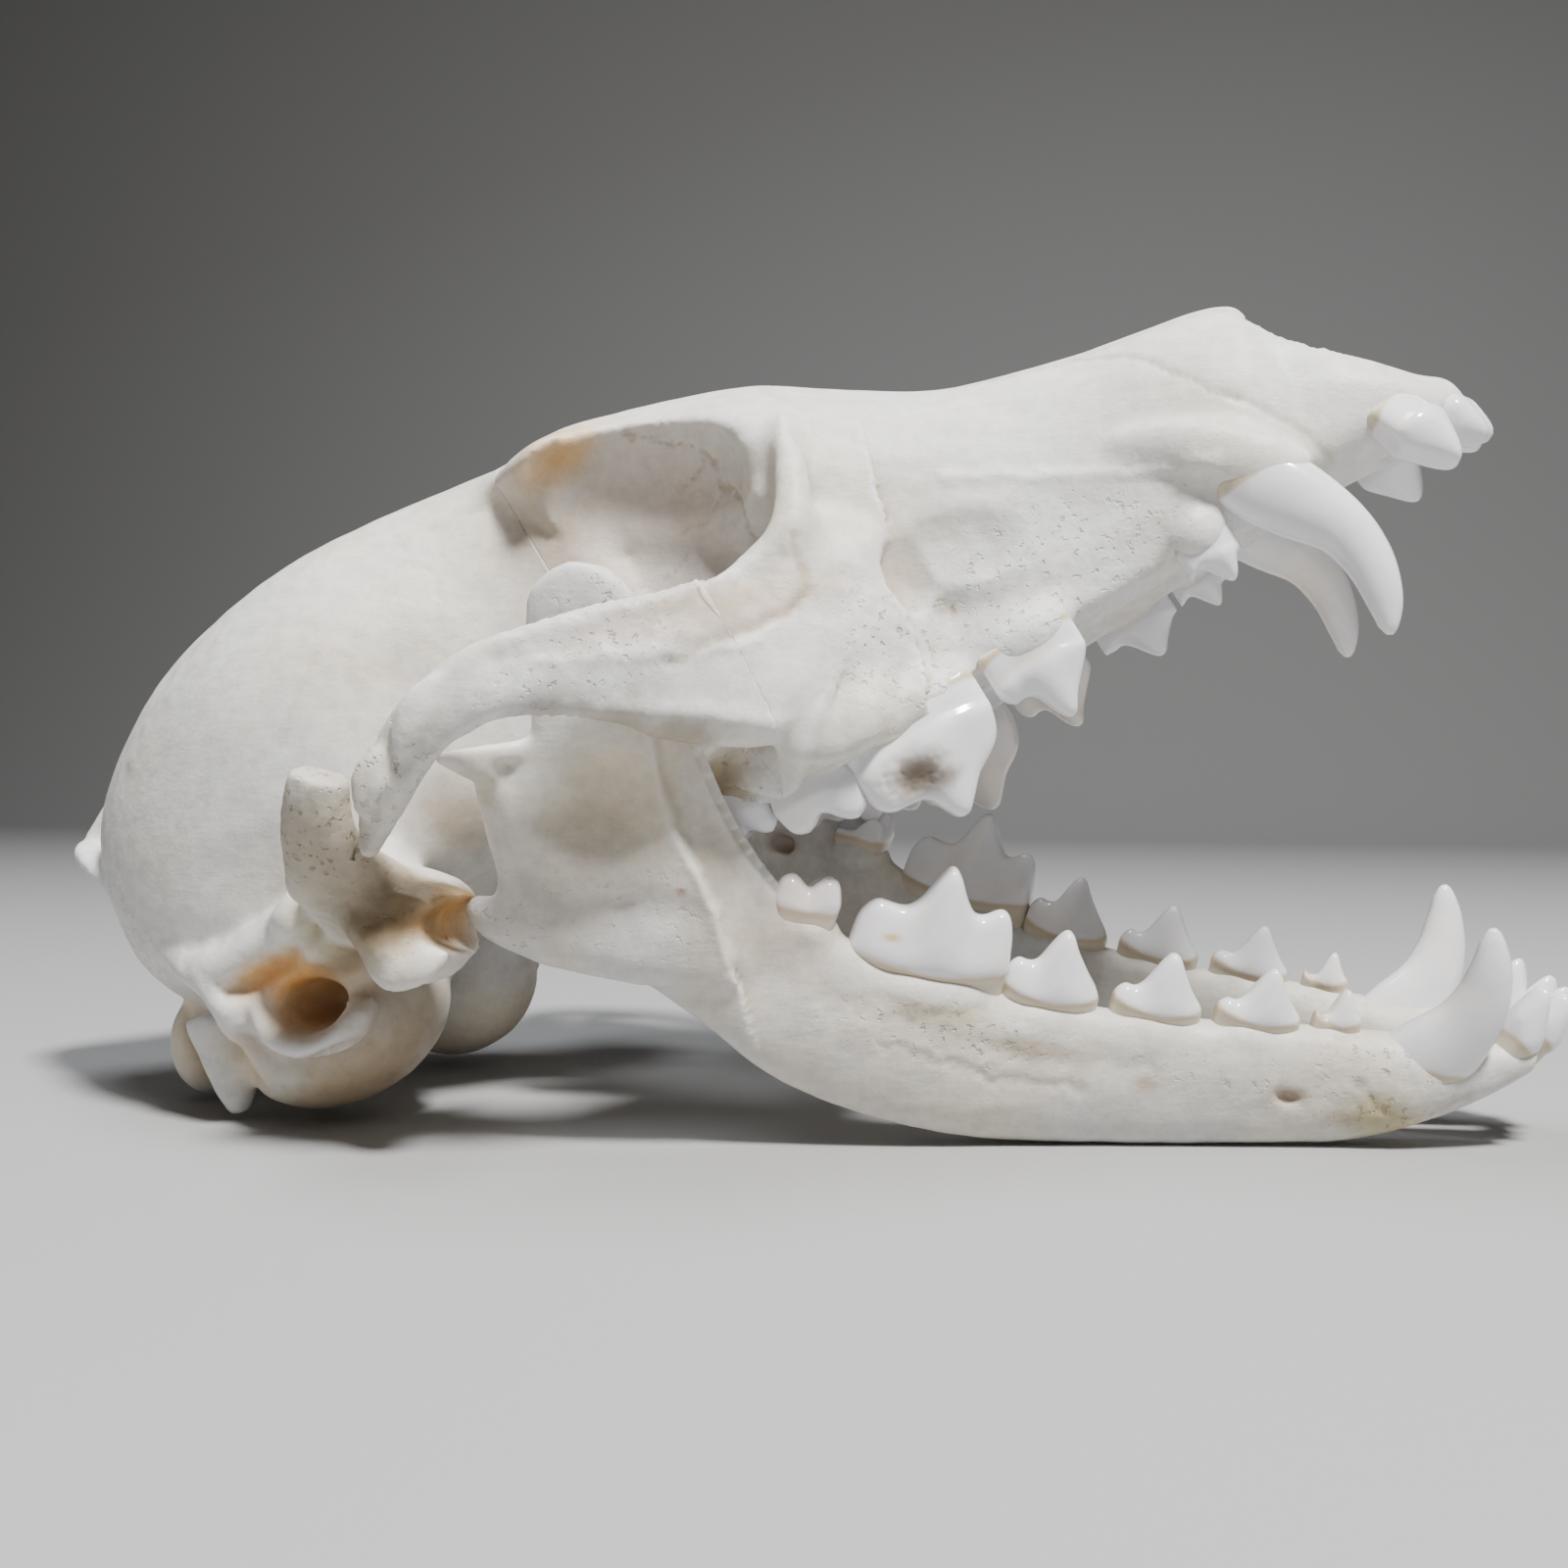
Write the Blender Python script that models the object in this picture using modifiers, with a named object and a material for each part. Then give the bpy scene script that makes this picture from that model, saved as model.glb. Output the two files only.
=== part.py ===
"""Fox skull, life size, jaws open, lying as it rests on a table.

The cranium and the lower jaw are drawn in millimetres, each in a frame of its own: x runs forward
from the hinge end, y to the animal's left and z up from the tooth sockets or the jaw's lower edge.
Two empties then set them down in the pose, in metres, with the bottom centre of the whole at the origin.
"""
import math

import bpy
import bmesh
from mathutils import Euler, Matrix, Vector

NAME = "fox_skull"
MM = 0.001
RIGHT = -1
LEFT = 1

# Driving dimensions, in millimetres and degrees
PART_GAP = 0.3
TOOTH_ROOT = 2.6
SLIVER = 0.01
LEFT_ROW_SHIFT = 1.1
CRANIUM_PITCH = 32.05
JAW_ROLL = 8.1
JAW_PITCH = 11.3
JAW_YAW = 2.6
JAW_PLACE = (21.9, 2.5, 17.0)
CRANIUM_LIFT = -5.73

# The thin cuts that part the cranium: centre, width and height, turn in degrees
NECK_CUT = ((61.0, 0.0, 25.0), (40.0, 80.0), (0, 0, 0))
CHEEK_CUT = ((74.6, 25.3, 14.0), (14.4, 32.0), (0, 0, -38))
TEMPLE_CUT = ((36.2, 31.6, 17.8), (12.0, 16.0), (0, -32, 57))
BROKEN_GAP = ((41.5, -34.5, 18.2), (9.0, 9.0), (0, 45, 0))
ARCH_SIDE = 15.0
NECK_SIDE = 50.0

# How finely the bone is modelled
CRANIUM_VOXEL = 0.62
JAW_VOXEL = 0.55
CRANIUM_FACES = 7000
JAW_FACES = 1350

# Sections of the braincase: x, half width, top, height of the widest point, bottom, squareness
BRAINCASE = [
    (-1.4, 6.0, 40.2, 31.0, 26.0, 1.10),
    (1.0, 11.5, 43.0, 27.0, 19.0, 1.12),
    (4.0, 16.2, 45.3, 24.0, 13.0, 1.10),
    (9.0, 19.8, 47.8, 23.5, 11.0, 1.05),
    (16.0, 22.4, 50.0, 25.0, 10.3, 0.98),
    (24.0, 23.7, 51.3, 28.5, 10.0, 0.93),
    (32.0, 23.8, 51.6, 31.5, 10.0, 0.90),
    (40.0, 21.8, 51.7, 33.0, 10.4, 0.90),
    (47.0, 17.8, 51.2, 33.5, 10.6, 0.92),
    (53.0, 14.2, 50.3, 34.0, 10.8, 0.94),
    (58.0, 12.4, 49.3, 35.0, 11.0, 0.94),
    (62.5, 11.4, 48.0, 36.5, 12.0, 0.94),
    (67.0, 11.2, 46.8, 37.5, 13.0, 0.94),
]

# Sections of the forehead and muzzle, down to the nasal tip
MUZZLE = [
    (55.0, 9.5, 48.9, 42.5, 34.0),
    (60.0, 10.8, 48.1, 42.0, 32.0),
    (65.0, 14.0, 46.9, 41.5, 31.5),
    (69.0, 15.6, 46.2, 40.5, 30.0),
    (74.0, 14.6, 45.1, 37.5, 26.5),
    (79.0, 14.2, 43.3, 34.0, 21.0),
    (84.0, 15.4, 41.2, 28.5, 12.0),
    (88.0, 15.8, 39.2, 22.5, 4.5),
    (92.0, 15.4, 36.3, 16.0, 1.0),
    (97.0, 14.2, 32.5, 11.5, 0.2),
    (102.0, 12.8, 29.3, 8.5, 0.0),
    (108.0, 11.4, 26.8, 7.0, 0.0),
    (114.0, 10.7, 24.8, 6.5, 0.0),
    (119.0, 10.9, 23.3, 6.0, 0.0),
    (123.5, 10.8, 22.1, 5.5, -0.3),
    (127.4, 9.4, 21.0, 6.5, -0.5),
    (129.6, 6.4, 19.9, 9.0, 1.5),
]

# Sections of the premaxillae, which carry the incisors
PREMAXILLA = [
    (120.0, 9.6, 19.0, 5.0, -0.2),
    (126.0, 9.4, 19.0, 5.0, -0.4),
    (129.0, 8.7, 19.2, 4.5, -0.6),
    (132.0, 8.1, 15.6, 3.6, -0.8),
    (135.6, 7.5, 9.8, 2.4, -1.2),
    (138.6, 6.6, 5.4, 1.2, -1.5),
    (141.0, 5.0, 3.4, 0.4, -1.8),
]

# Sections of the thin wall between the eye sockets, down to the palate's rear
ORBIT_WALL = [
    (50.0, 11.0, 40.0, 25.0, 10.6),
    (57.0, 9.9, 40.0, 25.0, 8.5),
    (62.0, 9.2, 40.0, 24.0, 3.6),
    (68.0, 8.8, 40.0, 22.0, 1.6),
    (75.0, 9.0, 38.0, 20.0, 1.2),
    (82.0, 10.4, 34.0, 17.0, 1.0),
    (88.0, 12.5, 29.0, 14.0, 1.0),
    (93.0, 12.8, 24.0, 12.0, 1.0),
]

# Sections of the tooth-bearing upper jaw
UPPER_JAW = [
    (62.6, 11.0, 8.0, 6.0, 4.6),
    (64.6, 17.0, 9.6, 6.0, 4.0),
    (68.0, 19.8, 11.0, 5.2, 2.8),
    (73.0, 20.6, 12.5, 4.6, 1.2),
    (79.0, 20.0, 13.0, 3.8, -0.2),
    (85.0, 17.6, 12.5, 3.4, -0.3),
    (91.0, 15.2, 12.0, 3.0, -0.2),
    (98.0, 13.2, 11.0, 3.0, 0.0),
    (106.0, 11.2, 10.0, 3.0, 0.0),
    (114.0, 10.2, 9.0, 3.0, 0.0),
    (122.0, 10.6, 9.0, 3.0, -0.2),
]

# The cheek arch: x, distance from the middle, height, depth of the bar, its thickness
CHEEK_ARCH = [
    (90.0, 12.0, 12.5, 21.0, 7.0),
    (84.0, 16.8, 12.9, 20.0, 7.0),
    (78.5, 20.8, 13.0, 18.0, 6.4),
    (74.0, 24.8, 13.4, 16.0, 5.4),
    (70.4, 29.0, 14.8, 13.2, 4.2),
    (67.0, 32.3, 17.1, 10.4, 3.7),
    (63.2, 34.2, 18.8, 8.4, 3.5),
    (58.0, 35.4, 20.6, 7.1, 3.3),
    (53.8, 35.6, 20.8, 6.4, 3.0),
    (50.3, 35.5, 20.3, 5.8, 2.8),
    (47.0, 35.2, 18.8, 5.0, 2.7),
    (44.0, 34.9, 16.9, 3.8, 2.4),
    (42.0, 34.6, 15.4, 2.6, 2.1),
    (40.5, 34.4, 14.1, 1.4, 1.6),
]

# The temple's process that reaches out to the arch, broken short on the right: same columns
TEMPLE_STUB = [
    (33.5, 17.0, 12.6, 16.0, 7.0),
    (33.8, 22.0, 13.0, 14.0, 6.6),
    (34.4, 26.6, 13.9, 11.0, 6.2),
    (35.4, 30.4, 16.2, 8.4, 5.4),
    (37.2, 33.2, 19.0, 6.8, 4.4),
    (40.6, 35.0, 22.3, 5.4, 3.6),
]
TEMPLE_PROCESS = TEMPLE_STUB[:-1] + [
    (40.2, 34.9, 22.0, 5.0, 3.6),
    (45.0, 35.5, 24.6, 4.2, 3.0),
    (51.0, 35.6, 25.4, 3.0, 2.6),
    (56.5, 35.5, 23.8, 1.8, 2.2),
]

# The back edge of the skull, where the roof meets the occiput: x, side, height, depth, thickness
NUCHAL_CREST = [
    (-5.4, 0.0, 40.6, 4.4, 2.4),
    (-2.9, 4.6, 38.4, 4.2, 2.2),
    (1.4, 9.6, 33.7, 4.2, 2.2),
    (5.9, 14.2, 27.0, 4.0, 2.2),
    (9.6, 18.2, 20.6, 4.0, 2.4),
    (12.6, 21.0, 14.8, 3.6, 2.6),
    (15.0, 21.6, 11.5, 3.4, 2.6),
]


def catmull(before, start, end, after, t):
    """One value on the smooth curve from start to end."""
    slope_in = (end - before) / 2
    slope_out = (after - start) / 2
    a = 2 * start - 2 * end + slope_in + slope_out
    b = 3 * end - 3 * start - 2 * slope_in - slope_out
    return ((a * t + b) * t + slope_in) * t + start


def smooth_rows(rows, steps):
    """Rows of numbers with steps pieces between each two of them, on smooth curves."""
    last = len(rows) - 1
    result = []
    for i in range(last):
        four = (rows[max(i - 1, 0)], rows[i], rows[i + 1], rows[min(i + 2, last)])
        for step in range(steps):
            result.append([catmull(a, b, c, d, step / steps) for a, b, c, d in zip(*four)])
    result.append(list(rows[last]))
    return result


def link(obj):
    bpy.context.scene.collection.objects.link(obj)
    return obj


def finish_mesh(name, bm):
    """A closed bmesh as an object, with its faces pointing out."""
    bmesh.ops.recalc_face_normals(bm, faces=bm.faces)
    mesh = bpy.data.meshes.new(name)
    bm.to_mesh(mesh)
    bm.free()
    return link(bpy.data.objects.new(name, mesh))


def loft(name, rings):
    """A closed skin over rings of equal count, with a flat cap at each end."""
    bm = bmesh.new()
    loops = [[bm.verts.new(point) for point in ring] for ring in rings]
    count = len(loops[0])
    for near, far in zip(loops, loops[1:]):
        for i in range(count):
            j = (i + 1) % count
            bm.faces.new((near[i], near[j], far[j], far[i]))
    bm.faces.new(loops[0])
    bm.faces.new(loops[-1])
    return finish_mesh(name, bm)


def section(row, sides, square=0.86):
    """An upright ring across the skull, with a last column for its squareness where it varies."""
    x, half_width, top, middle, bottom = row[:5]
    square = row[5] if len(row) > 5 else square
    ring = []
    for i in range(sides):
        angle = 2 * math.pi * i / sides
        across = math.cos(angle)
        up = math.sin(angle)
        reach = top - middle if up > 0 else middle - bottom
        y = half_width * math.copysign(abs(across) ** square, across)
        z = middle + reach * math.copysign(abs(up) ** square, up)
        ring.append(Vector((x, y, z)))
    return ring


def body(name, rows, square=0.86, sides=40, steps=3):
    return loft(name, [section(row, sides, square) for row in smooth_rows(rows, steps)])


def bar(name, rows, side, outward=(0, 1, 0), sides=16, steps=3, power=0.85):
    """A bar that follows a path: each row is x, y, z, depth and thickness towards outward."""
    path = smooth_rows(rows, steps)
    centres = [Vector((x, y * side, z)) for x, y, z, depth, thickness in path]
    facing = Vector((outward[0], outward[1] * side, outward[2]))
    rings = []
    for i, centre in enumerate(centres):
        ahead = centres[min(i + 1, len(centres) - 1)]
        behind = centres[max(i - 1, 0)]
        along = (ahead - behind).normalized()
        out = (facing - along * facing.dot(along)).normalized()
        rise = along.cross(out)
        depth, thickness = path[i][3], path[i][4]
        ring = []
        for k in range(sides):
            angle = 2 * math.pi * k / sides
            c = math.copysign(abs(math.cos(angle)) ** power, math.cos(angle))
            s = math.copysign(abs(math.sin(angle)) ** power, math.sin(angle))
            ring.append(centre + out * (c * thickness / 2) + rise * (s * depth / 2))
        rings.append(ring)
    return loft(name, rings)


def ball(name, centre, radii, turn=(0, 0, 0), side=1, detail=20):
    """An oval ball, turned in degrees, on the given side of the middle."""
    bm = bmesh.new()
    bmesh.ops.create_uvsphere(bm, u_segments=detail, v_segments=detail // 2 + 2, radius=1.0)
    shape = Euler([math.radians(a) for a in turn]).to_matrix().to_4x4()
    place = Matrix.Translation(Vector(centre)) @ shape @ Matrix.Diagonal((*radii, 1.0))
    bmesh.ops.transform(bm, matrix=place, verts=bm.verts)
    if side < 0:
        bmesh.ops.transform(bm, matrix=Matrix.Diagonal((1.0, -1.0, 1.0, 1.0)), verts=bm.verts)
    return finish_mesh(name, bm)


def box(name, centre, size, turn=(0, 0, 0)):
    bm = bmesh.new()
    bmesh.ops.create_cube(bm, size=1.0)
    shape = Euler([math.radians(a) for a in turn]).to_matrix().to_4x4()
    place = Matrix.Translation(Vector(centre)) @ shape @ Matrix.Diagonal((*size, 1.0))
    bmesh.ops.transform(bm, matrix=place, verts=bm.verts)
    return finish_mesh(name, bm)


def bake(obj):
    """Give the object its evaluated mesh and drop its modifiers."""
    graph = bpy.context.evaluated_depsgraph_get()
    mesh = bpy.data.meshes.new_from_object(obj.evaluated_get(graph))
    obj.modifiers.clear()
    obj.data = mesh
    return obj


def discard(objects):
    for obj in objects:
        bpy.data.objects.remove(obj)


def boolean(obj, operation, others, solver="EXACT"):
    """One Boolean between the object and a collection of closed pieces, applied."""
    group = bpy.data.collections.new("operands")
    bpy.context.scene.collection.children.link(group)
    for other in others:
        group.objects.link(other)
    change = obj.modifiers.new(operation.lower(), "BOOLEAN")
    change.operation = operation
    change.operand_type = "COLLECTION"
    change.collection = group
    change.solver = solver
    bake(obj)
    discard(others)
    bpy.data.collections.remove(group)
    return obj


def skin(obj, voxel, passes, faces):
    """One even skin over the bone, softened, with about the given number of triangles."""
    remesh = obj.modifiers.new("skin", "REMESH")
    remesh.mode = "VOXEL"
    remesh.voxel_size = voxel
    soften = obj.modifiers.new("soften", "SMOOTH")
    soften.factor = 0.5
    soften.iterations = passes
    bake(obj)
    keep_largest(obj)
    obj.data.update()
    thin = obj.modifiers.new("thin", "DECIMATE")
    thin.ratio = min(1.0, faces / len(obj.data.polygons))
    thin.use_collapse_triangulate = True
    return bake(obj)


def shells(bm):
    """The separate closed surfaces of a bmesh, as lists of faces."""
    left = set(bm.faces)
    groups = []
    while left:
        seed = left.pop()
        group = [seed]
        stack = [seed]
        while stack:
            face = stack.pop()
            for edge in face.edges:
                for other in edge.link_faces:
                    if other in left:
                        left.remove(other)
                        group.append(other)
                        stack.append(other)
        groups.append(group)
    return groups


def keep_largest(obj):
    """Keep only the largest closed surface of a mesh, in triangles without slivers."""
    bm = bmesh.new()
    bm.from_mesh(obj.data)
    bmesh.ops.triangulate(bm, faces=bm.faces)
    bmesh.ops.dissolve_degenerate(bm, dist=SLIVER, edges=bm.edges)
    bmesh.ops.triangulate(bm, faces=bm.faces)
    groups = sorted(shells(bm), key=lambda faces: (len(faces), faces[0].calc_area()))
    for group in groups[:-1]:
        bmesh.ops.delete(bm, geom=group, context="FACES")
    bm.to_mesh(obj.data)
    bm.free()
    return obj


def split(obj):
    """The separate surfaces of a mesh as objects of their own, largest first."""
    bm = bmesh.new()
    bm.from_mesh(obj.data)
    bm.faces.index_update()
    groups = [[face.index for face in group] for group in shells(bm)]
    bm.free()
    groups.sort(key=len, reverse=True)
    pieces = []
    for group in groups:
        wanted = set(group)
        part = bmesh.new()
        part.from_mesh(obj.data)
        part.faces.ensure_lookup_table()
        spare = [face for face in part.faces if face.index not in wanted]
        bmesh.ops.delete(part, geom=spare, context="FACES")
        pieces.append(finish_mesh("piece", part))
    discard([obj])
    return pieces


# Teeth
def blade_tooth(name, place, heading, lean, length, width, profile, root=TOOTH_ROOT, up=-1):
    """A flat-sided tooth. Its profile is pairs of place along it, -0.5 to 0.5, and height."""
    rings = []
    for along, height in profile:
        round_end = math.sqrt(max(0.0, 1.0 - (2 * along) ** 4))
        half = width / 2 * (0.45 + 0.55 * round_end)
        outer = [(half * 0.8, -root), (half, height * 0.15), (half * 0.9, height * 0.5), (half * 0.36, height)]
        ring = outer + [(-across, up_to) for across, up_to in reversed(outer)]
        rings.append([Vector((along * length, y, z)) for y, z in ring])
    tooth = loft(name, rings)
    return set_tooth(tooth, place, heading, lean, up)


def set_tooth(tooth, place, heading, lean, up):
    """Stand a tooth on its place: heading about the upright, lean outward, up or hanging down."""
    turn = Matrix.Rotation(math.radians(heading), 4, "Z") @ Matrix.Rotation(math.radians(lean), 4, "X")
    flip = Matrix.Diagonal((1.0, 1.0, float(up), 1.0))
    tooth.data.transform(Matrix.Translation(Vector(place)) @ turn @ flip)
    return tidy_normals(tooth)


def tidy_normals(obj):
    bm = bmesh.new()
    bm.from_mesh(obj.data)
    bmesh.ops.recalc_face_normals(bm, faces=bm.faces)
    bm.to_mesh(obj.data)
    bm.free()
    return obj


def mill_tooth(name, place, heading, length, width, cusps, root=TOOTH_ROOT, up=-1, taper=0.55, cells=4):
    """A broad molar: a grid crown with round cusps, narrower on its inner side."""
    bm = bmesh.new()
    bmesh.ops.create_grid(bm, x_segments=cells, y_segments=cells, size=0.5)
    for vert in bm.verts:
        u, v = vert.co.x, vert.co.y
        narrow = 1.0 - (1.0 - taper) * (0.5 - v)
        corner = 1.0 - 0.9 * (2 * u * 2 * v) ** 2 * 0.16
        x = u * length * narrow * corner
        y = v * width * corner
        height = 1.0
        for cusp_x, cusp_y, cusp_height, spread in cusps:
            away = math.hypot(x - cusp_x * length, y - cusp_y * width) / spread
            height = max(height, cusp_height * (1.0 - 0.75 * min(away, 1.0)))
        edge = max(abs(u), abs(v)) > 0.49
        vert.co = Vector((x, y, 0.6 if edge else height))
    rim = [edge for edge in bm.edges if edge.is_boundary]
    wall = bmesh.ops.extrude_edge_only(bm, edges=rim)["geom"]
    low = [item for item in wall if isinstance(item, bmesh.types.BMVert)]
    for vert in low:
        vert.co = Vector((vert.co.x * 0.8, vert.co.y * 0.85, -root))
    bmesh.ops.contextual_create(bm, geom=[item for item in wall if isinstance(item, bmesh.types.BMEdge)])
    return set_tooth(finish_mesh(name, bm), place, heading, 0.0, up)


def fang(name, rows, side, sides=10, steps=1):
    """A canine: a curved cone of oval section that follows its rows to the tip."""
    return bar(name, rows, side, sides=sides, steps=steps, power=1.0)


def pointed(height, tip=0.1, heel=0.35):
    """The outline of a premolar: a point, a small cusp behind it and a lip in front."""
    low = heel * height
    return [
        (-0.5, 1.2), (-0.38, low + 0.2), (-0.26, low), (tip - 0.1, 0.84 * height), (tip, height),
        (tip + 0.14, 0.74 * height), (0.4, 0.36 * height), (0.5, 1.2),
    ]


# Upper teeth: place along the row, distance from the middle, level, heading, lean, length, width, profile
UPPER_BLADES = {
    "P1": (114.3, 9.9, 0.2, -4.0, -4.0, 5.4, 3.2, pointed(3.4, 0.12, 0.2)),
    "P2": (106.9, 11.4, 0.2, -9.0, -5.0, 8.8, 3.5, pointed(4.6, 0.08, 0.3)),
    "P3": (96.2, 13.2, 0.3, -12.0, -6.0, 9.4, 3.8, pointed(6.4, 0.04, 0.42)),
    "P4": (83.9, 17.2, 0.2, -18.0, -6.0, 14.2, 5.4,
           [(-0.5, 2.2), (-0.44, 4.8), (-0.26, 5.6), (-0.14, 6.2), (-0.04, 8.6), (0.04, 8.6), (0.16, 7.0),
            (0.36, 5.0), (0.46, 3.4), (0.5, 1.6)]),
    "I3": (134.9, 6.9, 0.8, -34.0, 20.0, 5.8, 5.0, [(-0.5, 2.0), (-0.26, 4.2), (0.0, 5.7), (0.2, 5.0), (0.5, 2.0)]),
    "I2": (138.4, 4.4, 0.4, -58.0, 24.0, 3.6, 4.4, [(-0.5, 2.6), (-0.12, 4.7), (0.12, 4.7), (0.5, 2.6)]),
    "I1": (139.8, 1.6, 0.2, -76.0, 24.0, 2.9, 4.0, [(-0.5, 2.6), (-0.12, 4.5), (0.12, 4.5), (0.5, 2.6)]),
}
UPPER_FANG = [
    (119.2, 9.6, 5.5, 5.6, 3.8),
    (121.2, 10.2, 3.0, 7.2, 4.6),
    (123.0, 10.6, -0.4, 6.8, 4.6),
    (124.6, 11.2, -4.2, 5.2, 4.0),
    (124.9, 11.6, -8.0, 4.3, 3.4),
    (124.2, 11.9, -11.4, 3.3, 2.7),
    (123.3, 12.0, -13.6, 2.0, 1.7),
    (122.8, 12.0, -14.5, 0.8, 0.8),
]
# Molars: place along the row, distance from the middle, level, heading, length, width, cusps
UPPER_MILLS = {
    "M1": (73.6, 15.4, 1.2, 0.0, 9.6, 11.8,
           [(0.23, 0.33, 5.2, 3.6), (-0.24, 0.31, 4.0, 3.4), (0.06, -0.2, 3.0, 3.4), (0.0, 0.44, 3.2, 4.8)]),
    "M2": (66.9, 15.0, 3.2, 6.0, 6.6, 9.0,
           [(0.22, 0.30, 4.0, 2.8), (-0.22, 0.28, 3.2, 2.6), (0.0, -0.2, 2.0, 2.4), (0.0, 0.4, 2.4, 3.4)]),
}

# The right second premolar is lost
MISSING_RIGHT = ("P2",)

LOWER_BLADES = {
    "m1": (47.9, 15.2, 11.6, -13.0, 6.0, 14.9, 5.8,
           [(-0.5, 2.8), (-0.44, 5.6), (-0.3, 6.0), (-0.16, 6.2), (-0.04, 9.0), (0.04, 10.0), (0.12, 9.0),
            (0.24, 6.2), (0.38, 6.9), (0.47, 5.6), (0.5, 3.6)]),
    "p4": (59.5, 12.4, 10.4, -13.0, 4.0, 9.2, 4.4, pointed(7.0, 0.06, 0.52)),
    "p3": (69.4, 10.4, 10.8, -11.0, 3.0, 8.5, 3.8, pointed(6.2, 0.08, 0.4)),
    "p2": (78.7, 8.8, 11.6, -10.0, 3.0, 8.0, 3.5, pointed(5.6, 0.08, 0.36)),
    "p1": (86.0, 7.2, 12.6, -11.0, 2.0, 4.6, 2.9, pointed(3.8, 0.08, 0.2)),
    "i3": (102.2, 4.9, 13.8, -46.0, 12.0, 3.4, 3.9, [(-0.5, 3.4), (-0.12, 6.3), (0.12, 6.3), (0.5, 3.2)]),
    "i2": (104.2, 3.2, 14.2, -62.0, 20.0, 2.7, 3.7, [(-0.5, 3.0), (-0.12, 5.5), (0.12, 5.5), (0.5, 3.0)]),
    "i1": (105.0, 1.3, 14.4, -80.0, 20.0, 2.1, 3.5, [(-0.5, 3.0), (-0.12, 4.9), (0.12, 4.9), (0.5, 3.0)]),
}
LOWER_FANG = [
    (89.6, 5.2, 7.0, 5.4, 3.8),
    (92.8, 5.9, 9.2, 7.4, 4.8),
    (95.2, 6.7, 12.2, 7.6, 5.0),
    (96.9, 7.6, 15.6, 6.0, 4.4),
    (97.5, 8.4, 18.8, 4.8, 3.7),
    (97.3, 9.0, 21.8, 3.6, 2.9),
    (96.8, 9.3, 24.2, 2.2, 1.8),
    (96.5, 9.4, 25.4, 0.8, 0.8),
]
LOWER_MILLS = {
    "m2": (36.2, 18.1, 15.4, -14.0, 6.6, 5.4,
           [(0.26, 0.2, 3.8, 2.8), (-0.26, 0.2, 3.6, 2.6), (0.22, -0.25, 3.2, 2.6)]),
    "m3": (31.0, 19.4, 17.8, -14.0, 3.0, 2.8, [(0.0, 0.0, 1.8, 2.2)]),
}


def tooth_set(blades, mills, fang_rows, side, up, missing=(), forward=0.0):
    """All the teeth of one side of one jaw, as closed pieces."""
    teeth = []
    for name, (x, y, z, heading, lean, length, width, profile) in blades.items():
        if name in missing:
            continue
        place = (x + forward, y * side, z)
        teeth.append(blade_tooth(name, place, heading * side, -lean * side * up, length, width, profile, up=up))
    for name, (x, y, z, heading, length, width, cusps) in mills.items():
        taper = 1.0 if up > 0 else 0.6
        tooth = mill_tooth(name, (0, 0, 0), 0.0, length, width, cusps, up=up, taper=taper)
        turn = Matrix.Rotation(math.radians(heading), 4, "Z")
        mirror = Matrix.Diagonal((1.0, float(side), 1.0, 1.0))
        tooth.data.transform(mirror @ Matrix.Translation(Vector((x, y, z))) @ turn)
        teeth.append(tidy_normals(tooth))
    teeth.append(fang("canine", fang_rows, side))
    return teeth


# Cranium
def cranium_bone():
    """The whole upper skull as one closed piece, before it is skinned."""
    bone = body("cranium", BRAINCASE)
    added = [
        body("muzzle", MUZZLE),
        body("premaxilla", PREMAXILLA),
        body("orbit_wall", ORBIT_WALL),
        body("upper_jaw", UPPER_JAW, square=0.7),
        bar("sagittal_crest", [(-5.2, 0, 40.8, 4, 2.2), (0.6, 0, 43.4, 4, 2.0), (8.0, 0, 47.1, 4, 1.8),
                               (18.0, 0, 50.4, 3, 1.6), (30.0, 0, 51.3, 2, 1.4)], 1),
        bar("face_ridge", [(60, 0, 40, 6, 4), (75, 0, 36, 6, 4), (90, 0, 28, 6, 4)], 1),
    ]
    removed = [
        body("nose_opening", [(112, 3.4, 16.5, 12.5, 8.5), (120, 4.8, 18.6, 13.0, 7.0), (126, 5.6, 18.8, 12.6, 6.0),
                              (131, 6.0, 20.0, 13.0, 5.6), (140, 6.0, 24.0, 14.0, 5.8)], square=0.9),
        body("choana", [(43.0, 5.6, 8.6, 3.0, -6.0), (54.0, 5.0, 9.0, 4.0, -6.0), (63.0, 4.6, 8.6, 4.0, -4.0),
                        (66.0, 4.2, 8.2, 5.6, 3.4), (76.0, 3.4, 7.6, 5.6, 3.6)], square=0.8),
        body("palate_vault", [(62.0, 8.0, 1.6, -2.0, -6.0), (70.0, 11.2, 2.6, -2.0, -6.0), (80.0, 12.0, 2.8, -2.0, -6.0),
                              (92.0, 10.0, 2.6, -2.0, -6.0), (106.0, 7.6, 2.4, -2.0, -6.0), (118.0, 6.6, 2.0, -2.0, -6.0),
                              (128.0, 5.4, 1.2, -2.0, -6.0), (134.0, 4.0, 0.0, -2.5, -6.0)], square=0.8),
        ball("foramen_magnum", (-2.0, 0, 18.6), (12.0, 6.7, 5.6), turn=(0, 12, 0)),
    ]
    for side in (RIGHT, LEFT):
        added += cranium_side(side)
        removed += cranium_hollows(side)
    boolean(bone, "UNION", added)
    boolean(bone, "DIFFERENCE", removed)
    return bone


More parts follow.
